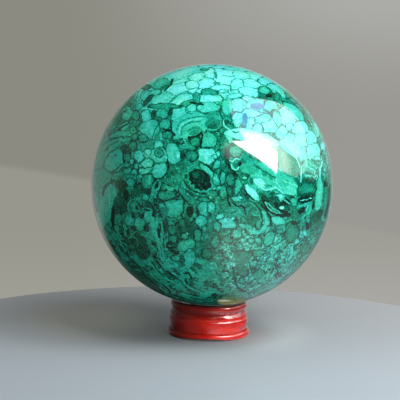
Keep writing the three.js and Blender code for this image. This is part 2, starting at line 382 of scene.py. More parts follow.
# What was laid over the nodules, each over the ones before it.
LAID_OVER = [
    # broad bodies: the fan, the bright one on the right, and the plain stone under the window's light
    spot(190, 124.5, 18.5, 13, -15, 0.66), spot(272, 178, 27, 12.5, 24, 0.66),
    spot(250, 167, 9.5, 8, -10, 0.56), spot(257, 184, 10, 6, 30, 0.62),
    spot(289, 160, 11.5, 18, -25, 0.45), spot(254, 137, 27, 6.5, 14, 0.92),
    spot(291, 148, 13, 6, 36, 0.86), spot(101, 170, 8, 34, 5, 0.50), spot(105, 205, 9, 20, 8, 0.56),
    spot(113.3, 159.8, 9.5, 12.3, 20, 0.57), spot(112, 142, 10, 6, -35, 0.54),
    line(0.7, 0.96, (281, 143), (290, 149), (296.5, 158), (299.5, 167)),
    # cap: dark gaps and cracks
    spot(216, 75, 1.3, 3.4, 0, 0.50), spot(217, 82.8, 4, 1.0, 0, 0.46), spot(165, 87, 5, 2, -20, 0.34),
    line(1.1, 0.20, (173, 79), (171.5, 84), (165, 90)),
    line(0.6, 0.45, (192, 93), (186, 91), (178, 95), (172, 101)), spot(148, 100, 2.6, 8, 40, 0.22),
    line(0.5, 0.55, (223, 75.5), (231, 77)), spot(269, 95.5, 3.2, 2.2, -10, 0.06),
    spot(262, 97.5, 3.4, 1.6, 10, 0.30), line(0.7, 0.45, (276, 91), (277.5, 101)),
    spot(227, 122, 3, 2.3, 0, 0.22), line(0.8, 0.30, (229, 128), (235, 133), (239, 132.5)),
    line(0.9, 0.85, (223.5, 120), (224, 125), (232, 131)),
    line(0.6, 0.55, (305, 131), (306.5, 139), (308, 145), (305, 151)),
    line(0.4, 0.6, (293, 133.5), (304, 133)), line(2.6, 0.24, (117, 109), (110, 120), (105, 132)),
    line(0.7, 0.15, (121, 117), (123, 112), (127, 110)),
    # the fan's rings
    line(0.8, 0.44, (176.5, 131), (178, 125), (182, 120.7), (188, 118.5), (196, 117.5), (203, 116.3)),
    line(0.7, 0.84, (179, 133), (180, 127), (184, 122.7), (190, 120.7), (198, 119.3), (204, 117.7)),
    line(0.8, 0.36, (181, 134.5), (182, 128.5), (186, 124.5), (192, 122.3), (200, 121.3)),
    line(0.7, 0.66, (184, 135), (185, 129.8), (189, 126.3), (195, 124.2), (201, 123.4)),
    spot(195.5, 131, 8, 4.6, -8, 0.44), line(0.6, 0.62, (188, 134), (190, 131), (195, 129.5), (200, 130)),
    line(1.5, 0.10, (189, 137.5), (197, 136.5), (202, 132)),
    line(1.0, 0.10, (170.5, 121), (171.5, 130), (175, 136)),
    line(0.6, 0.40, (184.5, 106), (186, 112), (191, 114)),
    line(0.6, 0.30, (196, 103.5), (197, 110), (203, 113.5)),
    line(0.7, 0.46, (203, 118), (210, 114.5), (219, 114.5)), spot(213, 123, 7.5, 6, 0, 0.42),
    spot(213, 126, 5.4, 2.8, 0, 0.28), line(0.6, 0.55, (206, 120), (212, 117), (218, 118.5)),
    line(1.1, 0.12, (202.5, 104.5), (196.5, 103), (190, 102.5)), spot(209, 148, 5.5, 1.4, 0, 0.22),
    line(1.2, 0.10, (203, 134), (201, 140), (200, 147)), spot(168, 130.6, 4.5, 1.6, 8, 0.12),
    spot(153.5, 114.5, 2.7, 5, 10, 0.18), spot(171, 112, 2.3, 4.6, 10, 0.18),
    spot(160.6, 136.5, 1.5, 3.4, 0, 0.74), line(0.7, 0.66, (184, 139), (187, 143), (184, 145)),
    line(0.6, 0.7, (182, 137), (185, 138.5)), spot(182.5, 155.5, 2.8, 5, 0, 0.18),
    spot(178.4, 155.5, 1.5, 2.6, 0, 0.88), spot(176, 142.5, 5, 1.8, 10, 0.22),
    # the leaf, the stripes and the oval on the left
    line(0.9, 0.10, (119, 129.3), (124, 126), (128.5, 123.5)), spot(134, 130, 1.7, 1.5, 0, 0.36),
    line(0.8, 0.18, (109, 138.6), (116, 138), (123.5, 136.8)),
    line(0.6, 0.22, (102, 146), (108, 141), (112, 140)),
    line(0.5, 0.25, (105, 149.5), (111, 144.5), (118, 141)),
    line(0.6, 0.16, (104.5, 151.5), (108.5, 148.5)), spot(124.6, 147.3, 4.2, 3.2, 0, 0.20),
    line(0.7, 0.18, (112, 157.5), (115.5, 154.5)),
    line(0.7, 0.24, (120, 147), (110, 152.5), (105, 160), (103.5, 167), (109, 172), (116, 170),
         (121.5, 164)),
    spot(126, 152, 4, 2.6, 0, 0.14), line(0.9, 0.16, (123.5, 150), (123.5, 163)),
    spot(157, 137, 3, 5, 25, 0.46), line(0.7, 0.28, (159.5, 121), (155, 131), (151, 141.5)),
    line(0.6, 0.34, (137.5, 126), (142, 134), (149.5, 142)), spot(154, 124, 3.5, 4, 30, 0.60),
    line(0.5, 0.40, (125, 106), (127.5, 112), (131, 116)), line(0.4, 0.44, (122, 113), (127.5, 112)),
    # the cluster's rings
    spot(159, 153.4, 4.8, 4.6, 0, 0.24), spot(159, 153.2, 3.6, 3.4, 0, 0.56),
    spot(159, 153.4, 2.1, 1.9, 0, 0.38), line(0.5, 0.40, (144.5, 151), (146.5, 155.5), (151, 155.5)),
    line(0.5, 0.34, (141, 148.5), (143.5, 151.5)), spot(148, 152, 2.4, 2.0, 0, 0.80),
    line(0.8, 0.34, (151, 159), (156, 163), (164, 161.5)),
    line(0.6, 0.30, (139, 163), (145, 168), (152, 166.5)),
    line(0.5, 0.5, (135.5, 152), (138, 158), (136, 163)),
    line(1.2, 0.10, (167.3, 159), (168.7, 166), (167, 173), (162.5, 179)),
    spot(149.5, 179, 1.9, 4.8, 0, 0.62),
    # thin lines on the smooth stone at the left edge
    line(0.6, 0.34, (93, 172), (98, 168.5), (103, 167), (109, 172)),
    line(0.5, 0.40, (104, 180), (112, 177), (121, 175)),
    line(0.5, 0.62, (112, 154), (114, 158), (112, 164)),
    line(0.9, 0.66, (108, 188), (110.5, 194), (109.5, 204)),
    line(0.5, 0.40, (98, 176), (100, 190), (99, 205)), line(0.6, 0.44, (95, 160), (98, 150), (104, 141)),
    # the dark rim at the lower left, and the thin paler lines in it
    spot(118, 262, 4, 20, -38, 0.20), spot(128, 248, 7, 9, -30, 0.16), spot(150, 283, 3.5, 20, -55, 0.22),
    line(0.35, 0.40, (109, 243), (117, 257), (128, 270), (137, 278)),
    line(0.3, 0.34, (116, 248), (124, 260), (136, 273)),
    line(0.35, 0.42, (128, 276), (141, 286), (155, 294), (166, 299)),
    line(0.3, 0.36, (131, 271), (143, 281), (158, 290)),
    line(0.3, 0.44, (121, 243), (125, 249), (123, 254), (128, 257)),
    line(0.3, 0.40, (139, 281), (146, 287), (150, 286)),
    line(0.3, 0.46, (112, 238), (115, 243), (118, 244), (117, 249)),
    line(0.3, 0.38, (145, 279), (157, 287), (172, 294)),
    # the dark hook and the dark ground on the left
    line(1.6, 0.22, (114, 181.5), (107, 185), (104, 189), (103, 194)), spot(121, 184, 6, 4.6, 10, 0.16),
    spot(123, 197, 6.5, 9, 0, 0.17), spot(126, 195, 2.4, 5.5, 5, 0.06),
    spot(122.4, 194.8, 0.8, 1.3, 0, 0.42), spot(117.5, 205, 5, 10, 8, 0.22),
    spot(112.8, 217, 2, 11, 0, 0.04), spot(122, 208, 5, 8, 0, 0.18), spot(146, 190.5, 5.5, 3, 0, 0.14),
    spot(148, 205, 4, 3.5, 0, 0.18), spot(136, 193, 5, 5, 0, 0.24),
    line(0.6, 0.46, (132.5, 204), (137, 198.5), (142, 199.5)), spot(136.8, 207.4, 1.1, 2.5, 0, 0.03),
    spot(133.2, 215.6, 2.6, 3.4, 0, 0.16), spot(142.5, 215.7, 1.6, 3.2, 20, 0.10),
    spot(147, 210, 3.2, 1.2, 25, 0.10), line(0.6, 0.60, (142, 209), (146, 207.6), (151, 210)),
    spot(153.6, 215.5, 1.9, 7.5, 0, 0.09),
    # the chain-like loop and the dark-edged triangle
    line(0.6, 0.62, (158.5, 180), (161, 184), (158.5, 189), (154.5, 191), (152.5, 188), (155, 183.5),
         (158.5, 180)),
    spot(156.6, 186, 1.7, 3, 25, 0.10), line(0.8, 0.12, (152, 184), (156, 179), (161, 178)),
    line(0.9, 0.12, (163, 182.5), (170, 186), (176.5, 192.5), (181, 195.5), (171, 199), (160, 201.8),
         (157.5, 197), (159.5, 190.5), (163, 182.5)),
    spot(169.6, 188.3, 3.5, 2.3, 15, 0.60), line(1.3, 0.10, (180.5, 195.5), (185, 200.5), (190, 204.5)),
    # the eye in the middle, with its scalloped pale outline
    spot(186.5, 176, 5.2, 5.1, 0, 0.26), spot(186.5, 176, 4.3, 4.2, 0, 0.56),
    spot(187.2, 176.4, 2.7, 2.6, 0, 0.26), spot(201, 180, 13, 10, 45, 0.34),
    spot(191, 173.5, 3.4, 3.6, 0, 0.60), spot(190.4, 178.8, 3.3, 3.2, 0, 0.60),
    spot(192.4, 183.6, 3.3, 3.2, 0, 0.60), spot(196.2, 187.6, 3.4, 3.2, 0, 0.60),
    spot(201, 189.6, 3.4, 3.1, 0, 0.60), spot(206.4, 188.8, 3.3, 3.2, 0, 0.60),
    spot(210, 185.5, 3.0, 3.6, 0, 0.60), spot(191.2, 173.7, 2.6, 2.8, 0, 0.06),
    spot(190.8, 178.6, 2.4, 2.3, 0, 0.06), spot(192.8, 183.3, 2.4, 2.3, 0, 0.06),
    spot(196.5, 187.1, 2.5, 2.3, 0, 0.06), spot(201, 188.9, 2.5, 2.2, 0, 0.06),
    spot(206, 188.1, 2.4, 2.3, 0, 0.06), spot(209.3, 185.2, 2.2, 2.7, 0, 0.06),
    spot(200.2, 179.4, 11.6, 8.8, 47, 0.05), spot(196, 174.5, 3.6, 3, 30, 0.22),
    spot(201.5, 179, 3, 3.4, 20, 0.13), spot(206, 184.5, 2.2, 1.4, 30, 0.15),
    spot(194, 181, 1.5, 1.2, 0, 0.20), spot(199, 184.5, 1.8, 1.2, 20, 0.20),
    line(0.5, 0.30, (197, 170.5), (203, 174)),
    line(0.5, 0.50, (181, 182), (185.5, 187), (190.5, 191), (196, 194.5), (203, 195.5)),
    line(1.0, 0.16, (183, 180), (188, 187), (194, 191.5), (201, 194), (207, 193.5)),
    spot(184.7, 187.5, 0.8, 0.7, 0, 0.84), spot(188, 194.7, 1, 0.8, 0, 0.80),
    spot(197, 193.9, 1.2, 0.7, 10, 0.76), spot(196, 197.6, 1.7, 0.9, 10, 0.66),
    spot(210, 197, 1.2, 1, 0, 0.86), spot(214.3, 188.4, 1, 0.8, 0, 0.86),
    spot(219.3, 187.5, 1.8, 1.5, 0, 0.66), line(1.1, 0.08, (202.5, 162.7), (208, 165.5), (213, 171.5)),
    # right of the middle
    spot(227.3, 157, 2.8, 7.5, 0, 0.12), line(2.3, 0.09, (229, 165), (232.5, 171), (236.5, 175)),
    spot(234, 150, 4, 3.4, 0, 0.54), line(0.9, 0.88, (230, 160.5), (233, 161.5), (236, 159), (239.5, 160)),
    line(1.0, 0.88, (231.5, 164.5), (232.5, 168), (236.5, 170.5), (239, 168)),
    spot(240, 164.8, 2, 2.5, 0, 0.10), spot(234.8, 166.8, 2, 1.5, 40, 0.40),
    spot(243.5, 162, 2.4, 2.2, 0, 0.36), spot(247.5, 176, 3, 2, 30, 0.22),
    spot(251.5, 181.5, 2.6, 3.4, 0, 0.30), spot(246.5, 196, 2, 3.4, -20, 0.14),
    spot(240.3, 197, 2, 1, 30, 0.85),
    line(1.0, 0.06, (232.5, 202.5), (236, 205.5), (241.5, 205.8), (245, 208), (246, 213)),
    line(1.3, 0.10, (228, 192), (227.5, 199), (230, 206)), line(0.6, 0.62, (249, 199.5), (255, 201.5)),
    line(0.9, 0.12, (243, 185), (247, 194), (254, 200)),
    line(0.9, 0.2, (222.7, 166), (220, 174), (219.6, 184)),
    # the bright body's lobes and blots
    spot(260, 183, 6.5, 3.6, 25, 0.92), spot(264.5, 174.6, 2.4, 1.7, 20, 0.46),
    spot(271, 177.5, 3, 1.9, 20, 0.46), spot(268, 186.3, 4.4, 1.3, 10, 0.50),
    line(0.8, 0.95, (255, 181), (259, 187), (264, 189.5), (270, 190), (275, 187.8), (280, 190.5),
         (283, 194)),
    line(0.8, 0.42, (257, 189.5), (263, 192.7), (270, 192.3), (276, 190.5), (281, 193.5)),
    line(0.6, 0.88, (275.5, 178), (277, 184), (281, 188)), spot(286, 182.5, 4, 2.4, 25, 0.56),
    spot(290, 191, 7, 4.6, 10, 0.74), line(1.0, 0.80, (283, 180.5), (290, 183.5), (297, 186)),
    line(1.4, 0.34, (255, 165), (262, 170), (275, 178)), spot(246, 158, 4, 3, 30, 0.50),
    # the dark eye with thin pale loops
    spot(274, 202, 6.5, 6.2, 20, 0.24), spot(265, 199, 4.5, 3.4, 40, 0.14),
    line(2.6, 0.04, (263, 200), (267, 207), (273, 212), (281, 216), (289, 215)),
    line(2.4, 0.05, (276, 204), (279, 210), (286, 213)), spot(283.5, 205, 4.6, 4.2, 30, 0.12),
    spot(286.5, 208.5, 4, 2.4, 35, 0.26),
    line(0.6, 0.76, (265, 202.3), (268, 206.5), (272, 211), (276.5, 213.4), (280, 213.6),
         (277.8, 211), (273, 208.3), (269, 204), (265, 202.3)),
    line(0.5, 0.46, (270, 207.5), (273.5, 210.5), (276.5, 212)), spot(281.6, 208, 2.2, 1.9, 0, 1.0),
    line(0.8, 0.03, (285, 198), (288, 201.5), (290, 203.7)), line(0.5, 0.86, (283.5, 200), (289, 204.3)),
    spot(292.5, 197.6, 1.8, 0.8, 0, 0.03), line(0.5, 0.30, (290, 205), (293, 210), (291, 215)),
    # the second dark eye and the scribbles above it
    spot(308, 195.5, 8, 3, 0, 0.18), spot(305.7, 199.3, 7.6, 3.7, -6, 0.04),
    line(0.5, 0.70, (300.5, 200.3), (304, 199.4), (307, 199.3), (310.6, 198.2)),
    spot(310.6, 198.1, 1.1, 0.8, 0, 0.95), spot(303, 199.7, 0.9, 0.7, 0, 0.85),
    spot(306.5, 199.3, 0.9, 0.7, 0, 0.85), spot(309, 181, 7.5, 2.6, 0, 0.22),
    spot(309, 168, 7, 8.5, 10, 0.60),
    line(0.6, 0.88, (306, 160.5), (307, 166), (311, 168.5), (315, 171), (315.3, 177)),
    line(0.6, 0.86, (303.5, 176), (308, 175), (314, 176.5)),
    line(0.6, 0.82, (309, 161.5), (311.5, 165.5), (317, 167)),
    line(0.7, 0.95, (301.5, 166), (301.2, 174), (300.8, 182)), spot(308.7, 172.7, 4.4, 1.3, 15, 0.34),
    line(1.0, 0.92, (322, 163), (320, 170), (320, 176)), spot(325.2, 184, 1.4, 3.6, -5, 0.14),
    line(1.2, 0.64, (299, 206.5), (305, 204), (310, 206), (311, 210.5), (306, 214.5), (302, 218)),
    spot(301.6, 210.6, 4, 2.7, -15, 0.07), line(0.7, 0.82, (308.2, 206), (306, 210.2)),
    spot(313.5, 205, 1, 4, 8, 0.1), spot(294.5, 222.8, 3, 1.8, 0, 0.10), spot(307, 226, 1.7, 4.2, 0, 0.08),
    spot(316, 218, 5, 5, 0, 0.26), line(1.8, 0.10, (329.5, 188), (329, 200), (326, 214)),
    spot(320, 214, 3, 5, 20, 0.18),
    # the hook that curls in on itself
    line(1.2, 0.08, (261, 205), (267, 210.5), (270.7, 217), (270.5, 224)),
    spot(254.5, 217, 7.5, 9.5, 0, 0.30),
    line(0.9, 0.16, (256, 206.5), (261.5, 213), (262.7, 221), (260, 228)),
    line(0.5, 0.66, (251, 203), (257, 208.5), (260, 214.5), (260.7, 220.5), (257.5, 224)),
    line(0.6, 0.20, (253.5, 203), (259, 208), (262.3, 214)),
    line(2.3, 0.70, (263.5, 212.5), (266.3, 217.5), (266.6, 223), (264, 229), (259, 232.3),
         (252.5, 231.7), (248.3, 229)),
    spot(248.5, 227.5, 3.6, 3, 10, 0.60), spot(258, 225, 2.1, 4.4, -10, 0.50),
    spot(255, 213, 4.8, 2.8, 12, 0.44), line(0.5, 0.66, (251.5, 212.5), (254, 215.6), (259.5, 215.8)),
    spot(251.5, 223, 3.4, 3, 0, 0.34), line(0.6, 0.16, (255.8, 221), (255.5, 227), (259, 230)),
    line(0.7, 0.20, (245.5, 228), (247, 234), (254, 236)), line(0.6, 0.20, (282, 229), (282.3, 240)),
    line(0.6, 0.22, (272, 226), (276, 229), (282, 230)),
    # the dark gaps and specks below the middle
    spot(190.3, 211, 3.6, 7, 5, 0.08), spot(187, 224, 2.6, 8, -10, 0.20),
    spot(166.3, 224.5, 2.8, 6.5, 0, 0.18), spot(170.7, 245.5, 6, 4.2, 0, 0.14),
    spot(170, 246, 1, 0.8, 0, 0.62), spot(173, 245.2, 0.8, 0.7, 0, 0.60),
    spot(187.3, 234, 0.9, 1.1, 0, 0.78), spot(175, 252, 5, 2.2, 15, 0.12), spot(191, 231, 2.6, 7, 0, 0.22),
    spot(196.5, 266.5, 5, 3.6, 0, 0.26), spot(197.6, 213, 1.6, 5, 0, 0.16),
    line(0.6, 0.46, (188.5, 206), (193, 203.5)), spot(178, 204.5, 5, 3.4, -35, 0.62),
    spot(165, 211, 3.4, 4.6, 0, 0.40),
    # the blue lights' plain stone
    spot(257, 106, 7.5, 3.2, 0, 0.52), spot(245, 119, 2.6, 6, 0, 0.44), spot(227, 107, 5, 7, 0, 0.70),
    # the left edge of the dark ground: pale outlines
    line(0.6, 0.46, (124, 215), (123.3, 222), (124.5, 229), (125.5, 234), (129, 238.3), (132, 235),
         (137, 231.3)),
    line(0.6, 0.44, (120.5, 220), (123, 216), (125, 214.5)), spot(128, 232, 2, 4, 0, 0.14),
    line(0.5, 0.38, (118, 245), (118, 238), (119.5, 233), (121, 232)), spot(133.3, 228, 3, 2.4, 0, 0.12),
    line(0.6, 0.50, (120.7, 242), (127, 245), (128, 248.5), (125.3, 251), (122, 246), (120.7, 242)),
    line(0.6, 0.40, (129, 252), (131, 256), (133, 252.5), (136, 256.5)), spot(138, 241.5, 8, 7, 20, 0.18),
    spot(143, 252, 7, 8, -30, 0.16), line(0.6, 0.40, (132, 236), (137, 239), (138, 246)),
    spot(131.5, 247, 3, 2, 20, 0.30), line(0.5, 0.44, (140, 235), (145, 237), (147, 241)),
    line(0.8, 0.32, (143.3, 241), (145.5, 244), (148, 245)), spot(146, 228, 3, 4, 0, 0.12),
    spot(145, 249, 4, 5, 0, 0.16), line(0.7, 0.04, (103.5, 232), (108.5, 241), (115, 250), (121, 258)),
    # the pale strand and the flow lines along the lower left
    line(2.6, 0.58, (152.5, 219), (153.5, 226), (154.5, 232), (158, 240), (160.5, 249)),
    line(1.2, 0.66, (157, 221), (156, 228)), line(1.4, 0.56, (161, 222), (162.5, 232), (161.5, 243)),
    line(2.4, 0.58, (161, 248), (163, 258), (168, 267)),
    line(0.8, 0.50, (151, 226), (152, 233), (149, 238)),
    line(0.6, 0.54, (164, 236), (166, 243), (164.5, 250)),
    line(0.5, 0.30, (160, 244), (162, 254), (166, 263)),
    line(0.6, 0.46, (157, 247), (156, 254), (160, 263)), spot(158.7, 233.5, 1.3, 4.6, -5, 0.06),
    line(1.7, 0.50, (149, 259.5), (153, 266), (158, 274), (165, 280)),
    line(1.5, 0.54, (156, 268), (161, 275), (168, 280)),
    line(0.9, 0.12, (156, 252), (158, 262), (164, 271)),
    line(0.7, 0.40, (150, 247), (152, 256), (158, 266)),
    line(0.8, 0.14, (152, 262), (157, 270), (164, 277)),
    line(0.9, 0.62, (165, 277), (171, 281), (177, 284.5), (182, 286)),
    line(2.0, 0.14, (168, 272), (175, 277.5)),
    line(1.1, 0.60, (183, 281), (187, 286), (194, 290), (203, 293.3), (212, 292)),
    line(0.7, 0.36, (140, 265), (148, 275), (157, 284)),
    line(0.8, 0.40, (143.5, 262), (152, 273), (162, 284)),
    line(0.7, 0.10, (141, 270), (151, 281), (161, 289)),
    line(0.9, 0.50, (160, 287), (167, 293), (177, 297.5)),
    line(0.8, 0.08, (163, 285), (168, 289), (171, 294), (178, 296)),
    line(1.2, 0.50, (185, 297), (191, 299)),
    line(2.0, 0.60, (190, 271), (194, 275.5), (199, 276), (202.5, 272)),
    line(1.4, 0.54, (182.5, 269), (188, 271)),
    line(0.7, 0.64, (181, 268), (185, 266.5), (190, 269), (191, 274), (188, 278), (184, 276),
         (183, 271.5)),
    line(0.6, 0.60, (192, 266), (197, 269), (199, 275), (196, 280)),
    line(0.8, 0.52, (184, 274.5), (188, 278), (190, 284)),
    line(0.7, 0.50, (182, 277), (183, 283), (187, 286)), spot(186.7, 281.5, 1.6, 3.6, -15, 0.16),
    line(1.0, 0.12, (184, 273), (189, 273.5), (192, 279)),
    line(0.8, 0.72, (211, 264.5), (213.5, 262.3), (216.5, 264), (216.8, 267)),
    line(0.9, 0.55, (202.5, 283), (201.6, 286), (203, 289)), line(0.8, 0.74, (172, 273), (176.5, 275.5)),
    # the greyish nodules and pale grains on the lower right, with a painted highlight: the first spot, a
    # tiny white glint
    spot(232.5, 219.5, 1.5, 1.2, 0, 1.0), spot(243, 258, 8.5, 6.5, 0, 0.40),
    spot(241, 268, 6, 4.5, 0, 0.36), line(0.8, 0.16, (220.5, 238), (220, 243), (224, 246.5)),
    line(0.9, 0.16, (223, 250), (222, 256), (228, 259.5)),
    line(1.5, 0.18, (233, 267), (234.5, 279), (238, 288), (245, 292)),
    line(0.8, 0.20, (249, 262), (252, 272)), spot(258, 258.2, 1.3, 1.1, 0, 0.74),
    line(1.2, 0.68, (252.5, 263), (255, 262)), spot(252.5, 278, 1.5, 2.4, 20, 0.66),
    line(1.2, 0.62, (260.5, 281.5), (264.5, 276.5), (269, 272)),
    line(0.9, 0.60, (264.5, 290), (269, 286), (276, 285)),
    line(1.3, 0.62, (279.5, 270.5), (286, 266), (292, 261.5)), line(1.3, 0.78, (275, 246.5), (278.5, 249)),
    line(1.4, 0.72, (271.5, 250), (272, 256.5)), line(1.4, 0.74, (292, 247.5), (292.3, 254), (289.5, 259)),
    spot(282.5, 257.5, 2, 1.6, 0, 0.78), spot(285, 250.5, 2.4, 1.6, 0, 0.66),
    spot(281, 261, 2.4, 1.2, 0, 0.74), spot(295, 253.5, 1.6, 2.6, 15, 0.70),
    spot(271.5, 276, 1.3, 1.6, 0, 0.74), line(1.2, 0.50, (220, 293.7), (231, 291.7)),
    line(0.7, 0.16, (275, 262), (277, 272), (282, 277)), spot(241.5, 281, 2.2, 2, 0, 0.52),
]

# How the figure wanders from where it is laid out: how far, in millimetres, and how many waves a millimetre
WANDERINGS = [(2.0, 0.16), (1.5, 0.48), (0.8, 1.4), (0.5, 3.2)]
LAID_SHARE = 0.55  # of the wandering, for the figures that are laid over the nodules
LINE_SOFTNESS = 0.12
LINE_FINENESS = 0.76  # how wide a vein is drawn, as a share of its listed width
SPOT_SOFTNESS = 0.22
LONGEST_PIECE = 5.0  # of a vein, which is laid in straight pieces
WIDEST_PIXEL = WIDEST_STRETCH * BALL_RADIUS * MM / BALL_PIXELS
FARTHEST = 1.6  # from a nodule's centre to where the ground begins, in its own half widths
SEAM = -0.03  # where the front's figures give way to the back's, in radii in front of the ball's middle

# The stone's colours, from the veins to the palest mint
STONE_COLOURS = [
    (0.0, (0.003, 0.010, 0.007)), (0.14, (0.002, 0.044, 0.027)), (0.30, (0.003, 0.125, 0.075)),
    (0.48, (0.007, 0.28, 0.17)), (0.66, (0.022, 0.48, 0.34)), (0.82, (0.070, 0.66, 0.54)),
    (1.0, (0.19, 0.80, 0.77)),
]
WARM_CAST = (1.14, 1.02, 0.93, 1)
COLD_CAST = (0.88, 0.98, 1.05, 1)
VEIN_SHARE = 0.38  # of the paleness of the nodules that a vein runs between
STONE_IOR = 1.8
STONE_SMOOTHEST = 0.035
STONE_ROUGHEST = 0.075
STONE_RELIEF = 0.00002

# Where the ground has a style of its own: ellipses of the photograph
THREADS_PLACE = (180, 175, 96, 78, 0)
MOSAIC_PLACE = (215, 64, 104, 38, 0)
BLOBS_PLACE = (140, 232, 48, 56, 20)
PALER_BLOBS_PLACE = (190, 283, 50, 20, 10)
FLOW_PLACE = (132, 276, 60, 30, 44)
GRAIN_PLACE = (272, 264, 52, 42, -30)
EDGE_GRAIN_PLACE = (322, 140, 12, 42, -22)


def spread_out(show, across, down, half_width, half_height, turn, depth, widest):
    """Where an ellipse of the photograph lies on a round thing that show() finds a pixel's point on.

    Gives its centre and three vectors. A point's products with them are 1 at the ends of its axes.
    """
    centre = show(across, down)
    outward = centre.normalized()
    level = outward.cross(Vector((0, 0, 1))).normalized()
    rise = level.cross(outward)
    step = 0.5
    columns = []
    for ahead in ((step, 0), (0, step)):
        gone = show(across + ahead[0], down + ahead[1]) - show(across - ahead[0], down - ahead[1])
        if gone.length > widest:
            gone = gone.normalized() * widest
        columns.append((gone.dot(level), gone.dot(rise)))
    stretch = np.array(columns).T
    angle = math.radians(turn)
    shape = np.array([[half_width * math.cos(angle), -half_height * math.sin(angle)],
                      [half_width * math.sin(angle), half_height * math.cos(angle)]])
    axes, sizes, _ = np.linalg.svd(stretch @ shape)
    first = (level * axes[0, 0] + rise * axes[1, 0]).normalized()
    second = outward.cross(first)
    size = math.sqrt(sizes[0] * sizes[1])
    frame_of_ellipse = {"Centre": tuple(centre), "First": tuple(first / sizes[0]),
                        "Second": tuple(second / sizes[1]), "Outward": tuple(outward / depth)}
    return frame_of_ellipse, size


def show_on_ball(across, down):
    """The point of the ball that a pixel shows, in millimetres from the ball's centre."""
    return (on_ball(across, down) - BALL_CENTRE) * MM


def lay_out(ellipse):
    """Where an ellipse of the photograph lies on the ball, in millimetres."""
    return spread_out(show_on_ball, *ellipse, NODULE_DEPTH, WIDEST_PIXEL)


def pieces_of(streak):
    """The straight pieces of a vein on the ball: start, way to the end, and half width, in millimetres."""
    pieces = []
    for here, there in zip(streak["places"], streak["places"][1:]):
        start = show_on_ball(*here)
        end = show_on_ball(*there)
        run = math.dist(here, there)
        aside = ((there[1] - here[1]) / run / 2, (here[0] - there[0]) / run / 2)
        middle = ((here[0] + there[0]) / 2, (here[1] + there[1]) / 2)
        wide = show_on_ball(middle[0] + aside[0], middle[1] + aside[1])
        wide -= show_on_ball(middle[0] - aside[0], middle[1] - aside[1])
        half_width = LINE_FINENESS * streak["half_width"] * min(wide.length, WIDEST_PIXEL)
        count = max(1, round((end - start).length / LONGEST_PIECE))
        corners = [start.lerp(end, step / count).normalized() * start.length for step in range(count + 1)]
        pieces += [(one, other - one, half_width) for one, other in zip(corners, corners[1:])]
    return pieces


def distance_from(sheet, place, ellipse):
    """How far a place is from an ellipse's centre: 1 on the ellipse itself."""
    apart = sheet.vector("SUBTRACT", place, ellipse["Centre"])
    products = {number: sheet.vector("DOT_PRODUCT", apart, ellipse[axis])
                for number, axis in enumerate(("First", "Second", "Outward"))}
    local = sheet.add("ShaderNodeCombineXYZ", products).outputs[0]
    return local, sheet.vector("LENGTH", local)


ELLIPSE = {"Centre": "vector", "First": "vector", "Second": "vector", "Outward": "vector"}


def grown_group():
    """One of the nodules that grew side by side: it takes the stone that is nearest to it."""
    inputs = {"Place": "vector", **ELLIPSE, "Make": "vector", "Local before": "vector",
              "Make before": "vector", "Nearest before": "value", "Second before": "value"}
    outputs = {"Local": "vector", "Make": "vector", "Nearest": "value", "Second": "value"}
    tree, sheet, given, result = new_group("grown_nodule", inputs, outputs)
    local, distance = distance_from(sheet, given["Place"], given)
    nearer = sheet.maths("LESS_THAN", distance, given["Nearest before"])
    behind = sheet.maths("MAXIMUM", distance, given["Nearest before"])
    sheet.put(result.inputs["Local"], sheet.mix_vector(nearer, given["Local before"], local))
    sheet.put(result.inputs["Make"], sheet.mix_vector(nearer, given["Make before"], given["Make"]))
    sheet.put(result.inputs["Nearest"], sheet.maths("MINIMUM", distance, given["Nearest before"]))
    sheet.put(result.inputs["Second"], sheet.maths("MINIMUM", behind, given["Second before"]))
    return tree


LAID = {"Inner": "value", "Outer": "value", "Paleness": "value",
        "Tone before": "value", "Cover before": "value"}


def lay_over(sheet, given, result, distance):
    """Lay a figure's tone over the tones before it, where it is nearer than its edge."""
    share = sheet.ramp(distance, given["Inner"], given["Outer"], 1.0, 0.0)
    sheet.put(result.inputs["Tone"], sheet.mix(share, given["Tone before"], given["Paleness"]))
    sheet.put(result.inputs["Cover"], sheet.mix(share, given["Cover before"], 1.0))


def laid_spot_group():
    """A round or oval patch laid over what is already there."""
    inputs = {"Place": "vector", **ELLIPSE, **LAID}
    tree, sheet, given, result = new_group("laid_spot", inputs, {"Tone": "value", "Cover": "value"})
    _, distance = distance_from(sheet, given["Place"], given)
    lay_over(sheet, given, result, distance)
    return tree


def laid_line_group():
    """A straight piece of a vein laid over what is already there."""
    inputs = {"Place": "vector", "Start": "vector", "Along": "vector", "Share": "vector", **LAID}
    tree, sheet, given, result = new_group("laid_line", inputs, {"Tone": "value", "Cover": "value"})
    apart = sheet.vector("SUBTRACT", given["Place"], given["Start"])
    gone = sheet.vector("DOT_PRODUCT", apart, given["Share"])
    gone = sheet.maths("MAXIMUM", sheet.maths("MINIMUM", gone, 1.0), 0.0)
    nearest = sheet.add("ShaderNodeVectorMath", {0: given["Along"], 3: gone}, operation="SCALE").outputs[0]
    lay_over(sheet, given, result, sheet.vector("DISTANCE", apart, nearest))
    return tree


def evenly(amount):
    """The same amount along each axis."""
    return (amount, amount, amount)


def back_on_ball(sheet, place):
    """The nearest point of the ball, so that a drifting place stays on its surface."""
    return sheet.vector("MULTIPLY", sheet.vector("NORMALIZE", place), evenly(BALL_RADIUS * MM))


